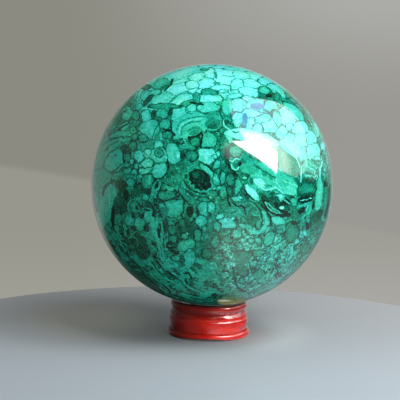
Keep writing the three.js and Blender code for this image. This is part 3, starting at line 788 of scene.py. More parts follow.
def net_of_nodules(sheet, place, fineness, palest, darkest, vein_tone, vein_width):
    """Small nodules side by side all over, each in its own tone."""
    near = sheet.cells(place, fineness)
    edge = sheet.cells(place, fineness, "DISTANCE_TO_EDGE").outputs["Distance"]
    chance = sheet.add("ShaderNodeSeparateColor", {0: near.outputs["Color"]}).outputs[0]
    rings = sheet.noise_along(sheet.maths("MULTIPLY_ADD", near.outputs["Distance"], 5.0,
                                          sheet.maths("MULTIPLY", chance, 40.0)))
    tone = sheet.ramp(chance, 0, 1, darkest, palest, smooth=False)
    tone = sheet.maths("ADD", tone, sheet.ramp(rings, 0.35, 0.65, -0.08, 0.08))
    return sheet.mix(sheet.ramp(edge, vein_width * 0.2, vein_width), vein_tone, tone)


def near_level(sheet, cloud, level, full, width):
    """A mask that is 1 along a thin line, wherever the cloud passes this level."""
    apart = sheet.maths("ABSOLUTE", sheet.maths("SUBTRACT", cloud, level))
    return sheet.ramp(apart, full, width, 1.0, 0.0)


def thread(sheet, cloud, level, width, tone, thread_tone):
    """A thin line in a tone of its own."""
    return sheet.mix(near_level(sheet, cloud, level, width * 0.3, width), tone, thread_tone)


def hair(sheet, cloud, level, width, tone, change):
    """A hair-fine line, darker or paler than the stone that it runs through."""
    return sheet.maths("MULTIPLY_ADD", near_level(sheet, cloud, level, width * 0.2, width), change, tone)


def ground_of_stone(sheet, place):
    """The stone between the figures that are laid out, and all of it around the sides."""
    nodules = net_of_nodules(sheet, place, 0.30, 0.60, 0.30, 0.20, 0.08)
    mosaic = net_of_nodules(sheet, place, 0.22, 0.94, 0.76, 0.42, 0.06)
    cloud = sheet.noise(place, 0.21, 3.0, 0.55).outputs[0]
    fine = sheet.noise(place, 0.70, 4.0, 0.6).outputs[0]
    slow = sheet.noise(place, 0.09, 2.0).outputs[0]

    # mid green, with dark and pale threads
    threads = sheet.maths("ADD", sheet.ramp(slow, 0.35, 0.65, 0.32, 0.48),
                          sheet.ramp(fine, 0.3, 0.7, -0.10, 0.10))
    threads = thread(sheet, cloud, 0.45, 0.016, threads, 0.20)
    threads = thread(sheet, cloud, 0.55, 0.010, threads, 0.64)
    threads = thread(sheet, fine, 0.50, 0.020, threads, 0.27)

    # dark, with blobs of green edged by thin pale outlines
    body = sheet.ramp(cloud, 0.49, 0.52, 0.17, 0.42)
    body = sheet.maths("ADD", body, sheet.ramp(fine, 0.3, 0.7, -0.12, 0.13))
    blobs = thread(sheet, cloud, 0.505, 0.012, body, 0.60)
    blobs = thread(sheet, fine, 0.56, 0.014, blobs, 0.52)

    # stripes that follow the ball's edge as the viewer sees it
    from_middle = sheet.vector("LENGTH", sheet.vector("CROSS_PRODUCT", place, tuple(FRONT)))
    way_across = sheet.maths("MULTIPLY_ADD", from_middle, 1.3, sheet.maths("MULTIPLY", cloud, 9.0))
    flow = sheet.ramp(sheet.noise_along(way_across, 1.0, 2.0), 0.36, 0.64, 0.14, 0.54)
    flow = thread(sheet, sheet.noise_along(way_across, 2.1, 1.0), 0.5, 0.05, flow, 0.55)
    flow = thread(sheet, fine, 0.55, 0.016, flow, 0.50)

    # fine pale grain in mid green
    speck = sheet.noise(place, 1.0, 3.0, 0.7).outputs[0]
    lump = sheet.noise(place, 0.30, 2.0).outputs[0]
    grain = sheet.maths("ADD", sheet.ramp(speck, 0.46, 0.59, 0.30, 0.76),
                        sheet.ramp(lump, 0.38, 0.62, -0.12, 0.12))

    tone = sheet.mix(sheet.ramp(slow, 0.50, 0.54), threads, nodules)
    paler_blobs = sheet.maths("ADD", blobs, 0.08)
    for style, region in (
        (threads, THREADS_PLACE), (mosaic, MOSAIC_PLACE), (blobs, BLOBS_PLACE),
        (paler_blobs, PALER_BLOBS_PLACE), (flow, FLOW_PLACE),
        (grain, GRAIN_PLACE), (grain, EDGE_GRAIN_PLACE),
    ):
        ellipse, _ = lay_out(region)
        _, distance = distance_from(sheet, place, ellipse)
        tone = sheet.mix(sheet.ramp(distance, 0.86, 1.08, 1.0, 0.0), tone, style)
    return tone


def grown_nodules(sheet, wandering):
    """The grown nodules: for each place, what its nodule is and how far it lies from that nodule's edge."""
    grown = grown_group()
    state = {"Local": (FARTHEST, 0.0, 0.0), "Make": (0.0, 0.0, 30.0), "Nearest": FARTHEST, "Second": 9.0}
    for nodule in GROWN_NODULES:
        ellipse, size = lay_out(nodule["ellipse"])
        state = place_group(sheet, grown, {
            "Place": wandering, **ellipse, "Make": (nodule["paleness"], nodule["bands"], size),
            "Local before": state["Local"], "Make before": state["Make"],
            "Nearest before": state["Nearest"], "Second before": state["Second"]})
    pale, _, size = sheet.add("ShaderNodeSeparateXYZ", {0: state["Make"]}).outputs
    between = sheet.maths("MULTIPLY", sheet.maths("SUBTRACT", state["Second"], state["Nearest"]), 0.5)
    inside = sheet.maths("SUBTRACT", sheet.ramp(pale, 0.72, 0.80, 1.05, FARTHEST - 0.1), state["Nearest"])
    edge = sheet.maths("MULTIPLY", sheet.maths("MINIMUM", between, inside), size)
    return state["Local"], state["Make"], edge


def grown_tone(sheet, wandering, local, make, edge, ground):
    """The ground with the grown nodules in it."""
    pale, bands, _ = sheet.add("ShaderNodeSeparateXYZ", {0: make}).outputs

    # brighter in the middle, with fibres that run outward, and rings in a few
    distance = sheet.vector("LENGTH", local)
    fibre_place = sheet.vector("MULTIPLY_ADD", make, (31.0, 17.0, 5.0), sheet.vector("NORMALIZE", local))
    fibre = sheet.noise(fibre_place, 2.2, 1.0).outputs[0]
    tone = sheet.maths("ADD", pale, sheet.ramp(distance, 0.2, 1.0, 0.05, -0.07))
    tone = sheet.maths("ADD", tone, sheet.ramp(fibre, 0.35, 0.65, -0.05, 0.05))
    ring = sheet.noise_along(sheet.maths("MULTIPLY_ADD", distance, sheet.maths("MULTIPLY", bands, 2.0),
                                         sheet.maths("MULTIPLY", pale, 31.7)))
    swing = sheet.maths("MULTIPLY", sheet.ramp(ring, 0.35, 0.65, -0.14, 0.14),
                        sheet.maths("MINIMUM", bands, 1.0))
    tone = sheet.maths("ADD", tone, swing)

    # veins where nodules meet, here thin and there broad, with a thin bright rim beside them
    vein_tone = sheet.maths("MULTIPLY", pale, VEIN_SHARE)
    width = sheet.ramp(sheet.noise(wandering, 0.4, 1.0).outputs[0], 0.35, 0.65, 0.12, 0.44)
    rim = sheet.ramp(sheet.maths("ABSOLUTE", sheet.maths("SUBTRACT", edge, 0.75)), 0.0, 0.35, 0.07, 0.0)
    tone = sheet.mix(sheet.ramp(edge, sheet.maths("MULTIPLY", width, 0.3), width), vein_tone,
                     sheet.maths("ADD", tone, rim))
    return sheet.mix(sheet.ramp(edge, -0.45, -0.2), ground, tone)


def laid_figures(sheet, place):
    """The laid figures, each over the ones before it: their tone, and how far they cover the stone."""
    laid_spot = laid_spot_group()
    laid_line = laid_line_group()
    state = {"Tone": 0.0, "Cover": 0.0}
    for figure in LAID_OVER:
        if "ellipse" in figure:
            ellipse, size = lay_out(figure["ellipse"])
            soft = min(SPOT_SOFTNESS / size, 0.4)
            pieces = [(laid_spot, {**ellipse, "Inner": 1 - soft, "Outer": 1 + soft})]
        else:
            pieces = [(laid_line, {"Start": tuple(start), "Along": tuple(along),
                                   "Share": tuple(along / along.length_squared),
                                   "Inner": max(half_width - LINE_SOFTNESS, 0.0),
                                   "Outer": half_width + LINE_SOFTNESS})
                      for start, along, half_width in pieces_of(figure)]
        for tree, values in pieces:
            state = place_group(sheet, tree, {
                "Place": place, **values, "Paleness": figure["paleness"],
                "Tone before": state["Tone"], "Cover before": state["Cover"]})
    return state["Tone"], state["Cover"]


def times(sheet, direction, amount):
    return sheet.add("ShaderNodeVectorMath", {0: direction, 3: amount}, operation="SCALE").outputs[0]


def wandered(sheet, place):
    """The two places that a point takes its stone from: its nodules, and the figures laid over them."""
    drift = (0.0, 0.0, 0.0)
    for reach, waves in WANDERINGS:
        turbulence = sheet.noise(place, waves, 1.0).outputs["Color"]
        step = sheet.vector("MULTIPLY_ADD", turbulence, evenly(reach), evenly(-reach / 2))
        drift = sheet.vector("ADD", drift, step)
    wandering = back_on_ball(sheet, sheet.vector("ADD", place, drift))
    steadier = back_on_ball(sheet, sheet.vector("MULTIPLY_ADD", drift, evenly(LAID_SHARE), place))
    return wandering, steadier


def stone_tone(sheet, place):
    """How pale the stone is, from 0, its veins, to 1, the palest mint, and the two grains in its polish."""
    wandering, steadier = wandered(sheet, place)

    # The back carries the front's figures, each straight through the ball's centre from its own place. The
    # front's fade out close to the widest circle that the viewer sees, and the back's some way behind it.
    toward = sheet.vector("DOT_PRODUCT", place, tuple(FRONT / (BALL_RADIUS * MM)))
    past_seam = sheet.maths("SUBTRACT", toward, SEAM)
    side = sheet.maths("SIGN", past_seam)
    presence = sheet.maths("ADD", sheet.ramp(past_seam, 0.02, 0.09, 0.0, 1.0),
                           sheet.ramp(past_seam, -0.30, -0.05, 1.0, 0.0))
    grown_place = times(sheet, wandering, side)
    laid_place = times(sheet, steadier, side)

    nodule = grown_nodules(sheet, grown_place)
    laid, cover = laid_figures(sheet, laid_place)
    ground = ground_of_stone(sheet, wandering)
    tone = sheet.mix(presence, ground, grown_tone(sheet, wandering, *nodule, ground))
    laid = sheet.maths("MULTIPLY", laid, presence)
    cover = sheet.maths("MULTIPLY", cover, presence)
    tone = sheet.maths("MULTIPLY_ADD", tone, sheet.maths("SUBTRACT", 1.0, cover), laid)

    # mottling, hair-fine threads, and grit over everything
    mottle = sheet.noise(wandering, 0.9, 3.0, 0.6).outputs[0]
    tone = sheet.maths("ADD", tone, sheet.ramp(mottle, 0.3, 0.7, -0.08, 0.08, smooth=False))
    cloud = sheet.noise(wandering, 0.75, 4.0, 0.65).outputs[0]
    plenty = sheet.ramp(tone, 0.50, 0.85, 1.0, 0.45)
    tone = hair(sheet, cloud, 0.45, 0.020, tone, sheet.maths("MULTIPLY", plenty, -0.13))
    tone = hair(sheet, cloud, 0.55, 0.018, tone, sheet.maths("MULTIPLY", plenty, 0.13))
    grit = sheet.noise(place, 1.6, 2.0, 0.6).outputs[0]
    tone = sheet.maths("ADD", tone, sheet.ramp(grit, 0.3, 0.7, -0.10, 0.10, smooth=False), clamp=True)
    return tone, mottle, grit


def stone_colour(sheet, place, tone):
    """The green of each tone, here a little warmer and there a little colder."""
    ramp = sheet.add("ShaderNodeValToRGB", {0: tone})
    elements = ramp.color_ramp.elements
    while len(elements) < len(STONE_COLOURS):
        elements.new(0.5)
    for element, (position, colour) in zip(elements, STONE_COLOURS):
        element.position = position
        element.color = (*colour, 1)
    cast = sheet.noise(place, 0.10, 2.0).outputs[0]
    tint = sheet.add("ShaderNodeMix", {0: sheet.ramp(cast, 0.35, 0.65), 6: WARM_CAST, 7: COLD_CAST},
                     data_type="RGBA").outputs[2]
    return sheet.add("ShaderNodeMix", {0: 1.0, 6: ramp.outputs["Color"], 7: tint}, data_type="RGBA",
                     blend_type="MULTIPLY").outputs[2]


def malachite():
    """Polished malachite: green all through, with a faint relief of hard and soft grains."""
    material, shader = new_material("polished_malachite")
    sheet = Sheet(material.node_tree)
    coordinates = sheet.add("ShaderNodeTexCoord").outputs["Object"]
    place = sheet.vector("MULTIPLY", coordinates, evenly(MM))
    place = sheet.vector("SUBTRACT", place, tuple(BALL_CENTRE * MM))
    tone, mottle, grit = stone_tone(sheet, place)
    sheet.put(shader.inputs["Base Color"], stone_colour(sheet, place, tone))
    sheet.put(shader.inputs["Roughness"], sheet.ramp(grit, 0.3, 0.7, STONE_SMOOTHEST, STONE_ROUGHEST))
    shader.inputs["IOR"].default_value = STONE_IOR
    relief = sheet.maths("ADD", mottle, grit)
    bump = sheet.add("ShaderNodeBump", {"Strength": 0.15, "Distance": STONE_RELIEF, "Height": relief})
    sheet.put(shader.inputs["Normal"], bump.outputs[0])
    return material


def light_patch_group():
    """A soft-edged oval of light laid over the light before it."""
    inputs = {"Place": "vector", **ELLIPSE, "Inner": "value", "Outer": "value", "Light": "vector",
              "Light before": "vector"}
    tree, sheet, given, result = new_group("light_patch", inputs, {"Light": "vector"})
    _, distance = distance_from(sheet, given["Place"], given)
    share = sheet.ramp(distance, given["Inner"], given["Outer"], 1.0, 0.0)
    sheet.put(result.inputs["Light"], sheet.mix_vector(share, given["Light before"], given["Light"]))
    return tree


LIGHT_PATCH = light_patch_group()


def new_glow(made):
    """Make an object glow. Gives the sheet, the socket for its light, and the place on the object."""
    material = bpy.data.materials.new(made.name)
    material.use_nodes = True
    nodes = material.node_tree.nodes
    nodes.clear()
    output = nodes.new("ShaderNodeOutputMaterial")
    glow = nodes.new("ShaderNodeEmission")
    material.node_tree.links.new(glow.outputs[0], output.inputs["Surface"])
    made.data.materials.append(material)
    sheet = Sheet(material.node_tree)
    return sheet, glow.inputs["Color"], sheet.add("ShaderNodeTexCoord").outputs["Object"]


def glow_in_patches(made, show, depth, widest, light, patches):
    """Give an object a glow that differs from place to place.

    Each patch is an ellipse of the photograph (across, down, half width, half height and turn), then its
    softness and its light. show() finds where a pixel's ellipse lies, as seen from the ball's centre.
    """
    sheet, shown, coordinates = new_glow(made)
    place = sheet.vector("SUBTRACT", coordinates, tuple(BALL_CENTRE))
    for *ellipse, soft, colour in patches:
        lying, _ = spread_out(show, *ellipse, depth, widest)
        light = place_group(sheet, LIGHT_PATCH, {
            "Place": place, **lying, "Inner": 1 - soft, "Outer": 1 + soft, "Light": colour,
            "Light before": light})["Light"]
    sheet.put(shown, light if patches else (*light, 1))


def light_panel(name, pixels, distance, light, patches=()):
    """A flat glowing panel that the ball's polish shows at these pixels of the photograph."""
    lines = [mirrored_line(*pixel) for pixel in pixels]
    facing = sum((way for _, way in lines), Vector()).normalized()
    middle = BALL_CENTRE + facing * distance

    def show(across, down):
        start, way = mirrored_line(across, down)
        return start + way * ((middle - start).dot(facing) / way.dot(facing)) - BALL_CENTRE

    corners = [show(*pixel) + BALL_CENTRE for pixel in pixels]
    panel = make_mesh(name, corners, [list(range(len(pixels)))], smooth=False)
    glow_in_patches(panel, show, 1.0, 0.2, light, patches)
    panel.visible_camera = False
    panel.visible_shadow = False
    panel.visible_diffuse = False


# The lights that the polish shows: a window with a pane beside it, a curtain, and a glow below
WINDOW = [(231, 141), (241, 141), (252, 140.8), (262, 142.5), (270, 146), (277.5, 151.5), (276.5, 173.5),
          (266, 164.5), (256, 157.5), (246, 151), (238, 145.5)]
PANE = [(278, 143), (284, 144.5), (290, 151), (296, 160), (299, 168), (299.5, 174), (297, 178), (289, 174),
        (278, 169.5)]
CURTAIN = [(222, 103), (240, 99), (262, 99), (285, 106), (301.5, 122), (301.5, 181), (297, 179), (278, 175),
           (250, 156), (226, 133)]
UNDER_GLOW = [(217, 300), (224, 297), (234, 296.5), (243, 298), (246, 301), (240, 304), (226, 304.5)]
PANE_PATCHES = [(281, 158, 7, 18, -20, 0.6, (5.5, 5.6, 5.2))]
CURTAIN_PATCHES = [
    (221, 114, 9, 26, 0, 0.7, (1.2, 0.9, 1.8)),
    (250, 113, 18, 16, 0, 0.6, (1.7, 1.1, 3.1)), (257, 106, 8.5, 3.6, 0, 0.5, (2.8, 1.0, 5.3)),
    (245, 119, 3, 7, 0, 0.5, (1.3, 1.0, 5.6)), (262, 125, 4, 2.5, 0, 0.6, (1.6, 1.2, 4.6)),
    (290, 147, 15, 6, 34, 0.4, (3.8, 4.4, 4.2)), (254, 138.5, 27, 5.5, 14, 0.6, (9, 9.4, 9.2)),
]
UNDER_GLOW_PATCHES = [(224, 300.8, 6, 0.8, 0, 0.5, (1.4, 1.3, 1.0))]
WINDOW_DISTANCE = 1.50
PANE_DISTANCE = 1.51
CURTAIN_DISTANCE = 1.62
UNDER_GLOW_DISTANCE = 0.60
light_panel("window", WINDOW, WINDOW_DISTANCE, (15, 15, 15))
light_panel("pane", PANE, PANE_DISTANCE, (1.5, 1.5, 1.4), PANE_PATCHES)
light_panel("curtain", CURTAIN, CURTAIN_DISTANCE, (2.1, 2.2, 2.3), CURTAIN_PATCHES)
light_panel("under_glow", UNDER_GLOW, UNDER_GLOW_DISTANCE, (0.34, 0.26, 0.08), UNDER_GLOW_PATCHES)

# The room that the ball's polish shows: dark, with soft pale places
ROOM_DARK = (0.020, 0.024, 0.020)
ROOM_PLACES = [
    (185, 234, 60, 36, 0, 0.6, (0.10, 0.10, 0.10)),
    (120, 132, 30, 40, 10, 0.6, (0.13, 0.15, 0.13)), (95, 174, 12, 64, 3, 0.3, (0.30, 0.35, 0.31)),
    (264, 262, 50, 42, -35, 0.5, (0.48, 0.52, 0.58)), (236, 247, 20, 20, 0, 0.7, (0.95, 0.92, 1.00)),
    (319, 138, 13, 52, -16, 0.4, (0.48, 0.49, 0.48)), (195, 301, 50, 6, 3, 0.4, (0.01, 0.01, 0.01)),
    (233, 150, 9, 9.5, 0, 0.45, (1.6, 1.7, 1.6)), (311, 168, 8, 11, 0, 0.5, (0.8, 0.7, 0.7)),
]


def at_turn(radius, turn, height=0.0):
    """The point at this radius, turn and height around the upright axis."""
    return Vector((radius * math.cos(turn), radius * math.sin(turn), height))


def sphere(name, radius, rings, segments):
    """A sphere around the ball's centre, with one corner at each pole."""
    corners = [BALL_CENTRE + Vector((0, 0, radius))]
    for ring in range(1, rings):
        polar = math.pi * ring / rings
        for step in range(segments):
            turn = 2 * math.pi * step / segments
            corners.append(BALL_CENTRE + at_turn(radius * math.sin(polar), turn, radius * math.cos(polar)))
    corners.append(BALL_CENTRE - Vector((0, 0, radius)))
    faces = []
    last = 1 + (rings - 2) * segments
    for step in range(segments):
        after = (step + 1) % segments
        faces.append([0, 1 + step, 1 + after])
        faces.append([last + after, last + step, len(corners) - 1])
        for here in range(1, last, segments):
            below = here + segments
            faces.append([here + step, below + step, below + after, here + after])
    return make_mesh(name, corners, faces)


def round_room(name, radius):
    """A glowing shell around everything, which throws no shadow and lights nothing that is matt."""
    made = sphere(name, radius, ROOM_RINGS, ROOM_SEGMENTS)
    made.visible_shadow = False
    made.visible_diffuse = False
    made.visible_transmission = False
    made.visible_volume_scatter = False
    return made


def seen_in_polish(across, down):
    """Where the ball's polish shows the far room, from the ball's centre."""
    return mirrored_line(across, down)[1] * ROOM_RADIUS


# The wall behind, which glows with painted light and shade, and the height of the edge of its painted
# shade. Each pair of colours is its left and its right.
WALL_SHADE_EDGE = -0.329
WALL_SHADE_EDGE_SOFTNESS = 0.006
WALL_SLOPE = 0.15
WALL_ABOVE = ((0.262, 0.256, 0.220), (0.325, 0.319, 0.296))
WALL_TOP_RIGHT = (0.42, 0.42, 0.40)
WALL_BELOW = ((0.314, 0.309, 0.270), (0.345, 0.340, 0.305))
WALL_LOWEST = ((0.350, 0.345, 0.305), (0.410, 0.400, 0.380))


def paint_wall(wall):
    """Painted light and shade on the glowing wall: a little lighter on the right, and lighter below a faint
    shade edge that slopes with the picture.
    """
    sheet, shown, coordinates = new_glow(wall)
    across, _, height = sheet.add("ShaderNodeSeparateXYZ", {0: coordinates}).outputs
    # painted shade above a sloping edge, and painted light on the right, at the top right and low down
    tilted = sheet.maths("MULTIPLY_ADD", across, WALL_SLOPE, height)
    below = sheet.ramp(tilted, WALL_SHADE_EDGE - WALL_SHADE_EDGE_SOFTNESS, WALL_SHADE_EDGE + WALL_SHADE_EDGE_SOFTNESS, 1.0, 0.0)
    right = sheet.ramp(across, -0.25, 0.25, 0.0, 1.0)
    high = sheet.maths("MULTIPLY", right, sheet.ramp(height, -0.20, 0.0, 0.0, 1.0))
    deep = sheet.ramp(height, -0.36, -0.50, 0.0, 1.0)
    upper = sheet.mix_vector(right, *WALL_ABOVE)
    upper = sheet.mix_vector(high, upper, WALL_TOP_RIGHT)
    lower = sheet.mix_vector(right, *WALL_BELOW)
    lowest = sheet.mix_vector(right, *WALL_LOWEST)
    lower = sheet.mix_vector(deep, lower, lowest)
    sheet.put(shown, sheet.mix_vector(below, upper, lower))


room = round_room("mirrored_room", ROOM_RADIUS)
room.visible_camera = False
glow_in_patches(room, seen_in_polish, ROOM_RADIUS, 0.15 * ROOM_RADIUS, ROOM_DARK, ROOM_PLACES)

wall = round_room("wall", WALL_RADIUS)
wall.visible_glossy = False
paint_wall(wall)


def area_light(name, place, wide, high, power):
    """A white rectangle of light that faces the ball."""
    lamp = bpy.data.lights.new(name, "AREA")
    lamp.shape = "RECTANGLE"
    lamp.size = wide
    lamp.size_y = high
    lamp.energy = power
    made = bpy.data.objects.new(name, lamp)
    made.location = place
    made.rotation_mode = "QUATERNION"
    made.rotation_quaternion = (BALL_CENTRE - Vector(place)).to_track_quat("-Z", "Y")
    made.visible_glossy = False
    bpy.context.scene.collection.objects.link(made)


WINDOW_LIGHT_PLACE = (0.45, -0.35, 0.88)
FRONT_LIGHT_PLACE = (0.40, -0.85, 0.12)
area_light("window_light", WINDOW_LIGHT_PLACE, 0.7, 0.6, 11.0)
area_light("front_light", FRONT_LIGHT_PLACE, 0.7, 0.5, 4.0)

ROOM_LIGHT = (0.42, 0.42, 0.42, 1)
world = bpy.data.worlds.new("room")
bpy.context.scene.world = world
world.use_nodes = True
world.node_tree.nodes["Background"].inputs["Color"].default_value = ROOM_LIGHT
world.node_tree.nodes["Background"].inputs["Strength"].default_value = 1.0


# Table, with painted light: paler on the right and in front. Each pair of colours is its left and its
# right.
# Each painted pool of light, which lightens the shade beside the ring, has its middle, its half width, its
# half depth, and how much paler it is.
TABLE_IN_FRONT = ((0.33, 0.375, 0.41), (0.44, 0.50, 0.545))
TABLE_AT_BACK = ((0.26, 0.275, 0.275), (0.40, 0.425, 0.44))
PAINTED_LIGHT_PLACES = [
    (-0.050, 0.022, 0.032, 0.045, (1.5, 1.4, 1.22)),
    (0.026, 0.006, 0.020, 0.043, (1.28, 1.28, 1.26)),
]


def table_top():
    """An oval board with upright sides."""
    top = []
    for step in range(TABLE_SIDES):
        turn = 2 * math.pi * step / TABLE_SIDES
        top.append(Vector((TABLE_HALF_WIDTH * math.cos(turn),
                           TABLE_BACK - TABLE_HALF_DEPTH + TABLE_HALF_DEPTH * math.sin(turn), 0)))
    corners = top + [corner - Vector((0, 0, TABLE_THICKNESS)) for corner in top]
    faces = [list(range(TABLE_SIDES))]
    for step in range(TABLE_SIDES):
        after = (step + 1) % TABLE_SIDES
        faces.append([step, step + TABLE_SIDES, after + TABLE_SIDES, after])
    faces.append(list(range(2 * TABLE_SIDES - 1, TABLE_SIDES - 1, -1)))
    return make_mesh("table", corners, faces, smooth=False)


def table_paint():
    """Blue-grey paint with painted light: paler in front and on the right, and a soft painted pool of light
    on each side of the ring, which lightens the shade there.
    """
    material, shader = new_material("table_paint")
    sheet = Sheet(material.node_tree)
    coordinates = sheet.add("ShaderNodeTexCoord").outputs["Object"]
    across, depth, _ = sheet.add("ShaderNodeSeparateXYZ", {0: coordinates}).outputs
    # painted light: paler toward the right and toward the front
    right = sheet.ramp(across, -0.10, 0.12)
    back = sheet.ramp(depth, -0.09, 0.06)
    front_tone = sheet.mix_vector(right, *TABLE_IN_FRONT)
    back_tone = sheet.mix_vector(right, *TABLE_AT_BACK)
    tone = sheet.mix_vector(back, front_tone, back_tone)
    # painted pools of light that lighten the shade beside the ring
    for x, y, half_width, half_depth, paler in PAINTED_LIGHT_PLACES:
        apart = sheet.vector("MULTIPLY_ADD", coordinates, (1 / half_width, 1 / half_depth, 0.0),
                             (-x / half_width, -y / half_depth, 0.0))
        lit = sheet.ramp(sheet.vector("LENGTH", apart), 0.2, 1.2, 1.0, 0.0)
        tone = sheet.mix_vector(lit, tone, sheet.vector("MULTIPLY", tone, paler))
    sheet.put(shader.inputs["Base Color"], tone)
    shader.inputs["Roughness"].default_value = 0.45
    return material


table = table_top()
table.data.materials.append(table_paint())
table.visible_glossy = False

# Ball
ball = sphere("malachite_ball", BALL_RADIUS, BALL_RINGS, BALL_SEGMENTS)
ball.data.materials.append(malachite())
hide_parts("malachite_sphere")
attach(ball, "root")


# Ring
def bead(bottom, top, inner_below, inner_above, widest, steps=BEAD_STEPS, bulge=1.0):
    """Radius and height along one rounded moulding, from its bottom to its top."""
    points = []
    for step in range(steps + 1):
        angle = -math.pi / 2 + math.pi * step / steps
        inner = inner_below if angle < 0 else inner_above
        points.append((inner + (widest - inner) * max(math.cos(angle), 0.0) ** bulge,
                       (bottom + top) / 2 + (top - bottom) / 2 * math.sin(angle)))
    return points


def ring_profile():
    """Radius and height: up the outside, over the dished seat, and down the bore."""
    dish_depth = SEAT_WIDTH * math.tan(math.asin(SEAT_RADIUS / BALL_RADIUS))
    return [
        (BORE_RADIUS + BORE_EDGE, 0),
        *bead(0, FOOT_BEAD_TOP, FOOT_RADIUS - SOLE_EDGE, LOWER_GROOVE_RADIUS, FOOT_RADIUS),
        *bead(FOOT_BEAD_TOP, BELLY_TOP, LOWER_GROOVE_RADIUS, UPPER_GROOVE_RADIUS, BELLY_RADIUS,
              BELLY_STEPS, BELLY_BULGE)[1:],
        *bead(LIP_BEAD_BOTTOM, RING_HEIGHT, UPPER_GROOVE_RADIUS, LIP_RADIUS - SOLE_EDGE, LIP_RADIUS),
        (SEAT_RADIUS + SEAT_WIDTH / 2, RING_HEIGHT),
        (SEAT_RADIUS - SEAT_WIDTH / 2, RING_HEIGHT - dish_depth),
        (BORE_RADIUS, RING_HEIGHT - dish_depth - BORE_EDGE),
        (BORE_RADIUS, BORE_EDGE),
    ]


def unevenness(turn, height):
    """How much the hand-turned ring strays outward and upward at a place, in metres."""
    ripples = math.sin(5 * turn + 9 * height / RING_HEIGHT)
    outward = OUT_OF_ROUND * math.sin(2 * turn + 0.8) + RIPPLE * ripples
    upward = WARP * math.sin(2 * turn + 2.1) + SMALL_WARP * math.sin(3 * turn + 0.4)
    upward *= math.sin(math.pi * min(max(height / RING_HEIGHT, 0.0), 1.0))

    # the hollow around the belly
    away = min(abs(height - HOLLOW_HEIGHT) / HOLLOW_REACH, 1.0)
    outward -= HOLLOW_DEPTH * math.cos(math.pi / 2 * away) ** 2

    # the lower edge of the foot, turned up in front
    in_front = max(math.cos(turn - SOLE_LIFT_TURN), 0.0) ** 6
    upward += SOLE_LIFT * in_front * max(1 - 2 * height / FOOT_BEAD_TOP, 0.0)
    return outward, upward


def turned_ring():
    """The ring, uneven everywhere but at the seat and in the bore."""
    profile = ring_profile()
    corners = []
    for step in range(RING_SIDES):
        turn = 2 * math.pi * step / RING_SIDES
        for radius, height in profile:
            if radius > SEAT_RADIUS + SEAT_WIDTH:
                outward, upward = unevenness(turn, height)
                radius += outward - SKIN
                height += upward
            corners.append(at_turn(radius, turn, height))
    count = len(profile)
    faces = []
    for step in range(RING_SIDES):
        here = step * count
        there = (step + 1) % RING_SIDES * count
        for index in range(count):
            above = (index + 1) % count
            faces.append([here + index, there + index, there + above, here + above])
    return make_mesh("lacquered_ring", corners, faces)


# Lacquer. The darker reds are painted shade: on the left, at the lip under the ball, on the belly's upper
# left, under the foot's edge, and in the grooves, the seat and the bore.
BRIGHTEST_RED = (0.96, 0.022, 0.005)
DEEPER_RED = (0.74, 0.006, 0.002)
SHADED_RED = (0.10, 0.002, 0.002)
SHADED_LEFT_RED = (0.05, 0.003, 0.003)
SHADED_SHOULDER_RED = (0.06, 0.002, 0.002)
SHADED_FOOT_RED = (0.05, 0.002, 0.002)
LACQUER_RELIEF = 0.0003
COAT_IOR = 1.75
COAT_ROUGHNESS = 0.03


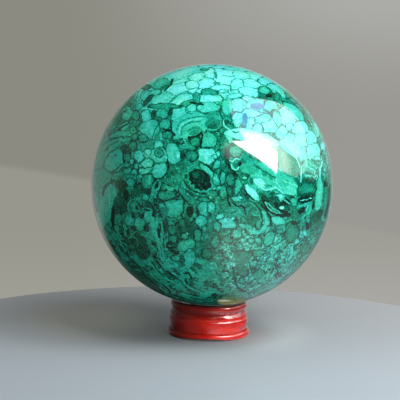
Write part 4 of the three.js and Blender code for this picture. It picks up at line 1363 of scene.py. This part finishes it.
def red_lacquer():
    """Thick clear gloss over deep red, with painted shade: darker on the left, at the lip under the ball,
    in the grooves, seat and bore, and under the foot's edge.
    """
    material, shader = new_material("red_gloss_lacquer")
    sheet = Sheet(material.node_tree)
    place = sheet.vector("MULTIPLY", sheet.add("ShaderNodeTexCoord").outputs["Object"], evenly(MM))
    clouds = sheet.noise(sheet.vector("MULTIPLY", place, (0.16, 0.16, 0.5)), 1.0, 2.0, 0.5).outputs[0]
    waves = sheet.noise(sheet.vector("MULTIPLY", place, (0.45, 0.45, 0.9)), 1.0, 1.0, 0.5).outputs[0]
    spots = sheet.noise(place, 1.4, 2.0, 0.6).outputs[0]
    across, _, height = sheet.add("ShaderNodeSeparateXYZ", {0: place}).outputs
    from_axis = sheet.vector("LENGTH", sheet.vector("MULTIPLY", place, (1.0, 1.0, 0.0)))
    # painted shade: masks for the shade on the left, on the belly's upper left, under the foot's edge, and
    # in the grooves, seat and bore
    left_shade = sheet.ramp(across, 0.0, 8.0, 1.0, 0.0)
    groove_shade = sheet.ramp(from_axis, UPPER_GROOVE_RADIUS * MM + 0.2, LIP_RADIUS * MM - 0.1, 1.0, 0.0)
    upper = sheet.maths("MULTIPLY", left_shade, sheet.ramp(height, 8.0, 9.6, 0.0, 0.42))
    edge = sheet.maths("MULTIPLY", left_shade, sheet.ramp(height, 0.2, 1.3, 0.75, 0.0))
    colour = sheet.mix_vector(sheet.ramp(clouds, 0.35, 0.65), DEEPER_RED, BRIGHTEST_RED)
    # each darker red laid over the lacquer here is painted shade
    for share, dark in (
        (sheet.ramp(across, -15.0, 7.0, 0.88, 0.0), SHADED_LEFT_RED),
        (sheet.ramp(height, 10.5, 12.5, 0.0, 0.4), SHADED_RED),
        (upper, SHADED_SHOULDER_RED), (edge, SHADED_FOOT_RED),
        (sheet.maths("MULTIPLY", groove_shade, 0.45), SHADED_RED),
    ):
        colour = sheet.mix_vector(share, colour, dark)
    sheet.put(shader.inputs["Base Color"], colour)
    sheet.put(shader.inputs["Roughness"], sheet.ramp(spots, 0.3, 0.7, 0.22, 0.34))
    relief = sheet.maths("ADD", waves, sheet.maths("MULTIPLY", spots, 0.45))
    bump = sheet.add("ShaderNodeBump", {"Strength": 0.4, "Distance": LACQUER_RELIEF, "Height": relief})
    sheet.put(shader.inputs["Normal"], bump.outputs[0])
    shader.inputs["Specular IOR Level"].default_value = 0.1
    sheet.put(shader.inputs["Coat Weight"], sheet.ramp(across, -16.0, -6.0, 0.08, 1.0))
    shader.inputs["Coat Roughness"].default_value = COAT_ROUGHNESS
    shader.inputs["Coat IOR"].default_value = COAT_IOR
    sheet.put(shader.inputs["Coat Normal"], bump.outputs[0])
    return material


ring = turned_ring()
ring.data.materials.append(red_lacquer())
ring.visible_glossy = False
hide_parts("ring_stand")
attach(ring, "root")
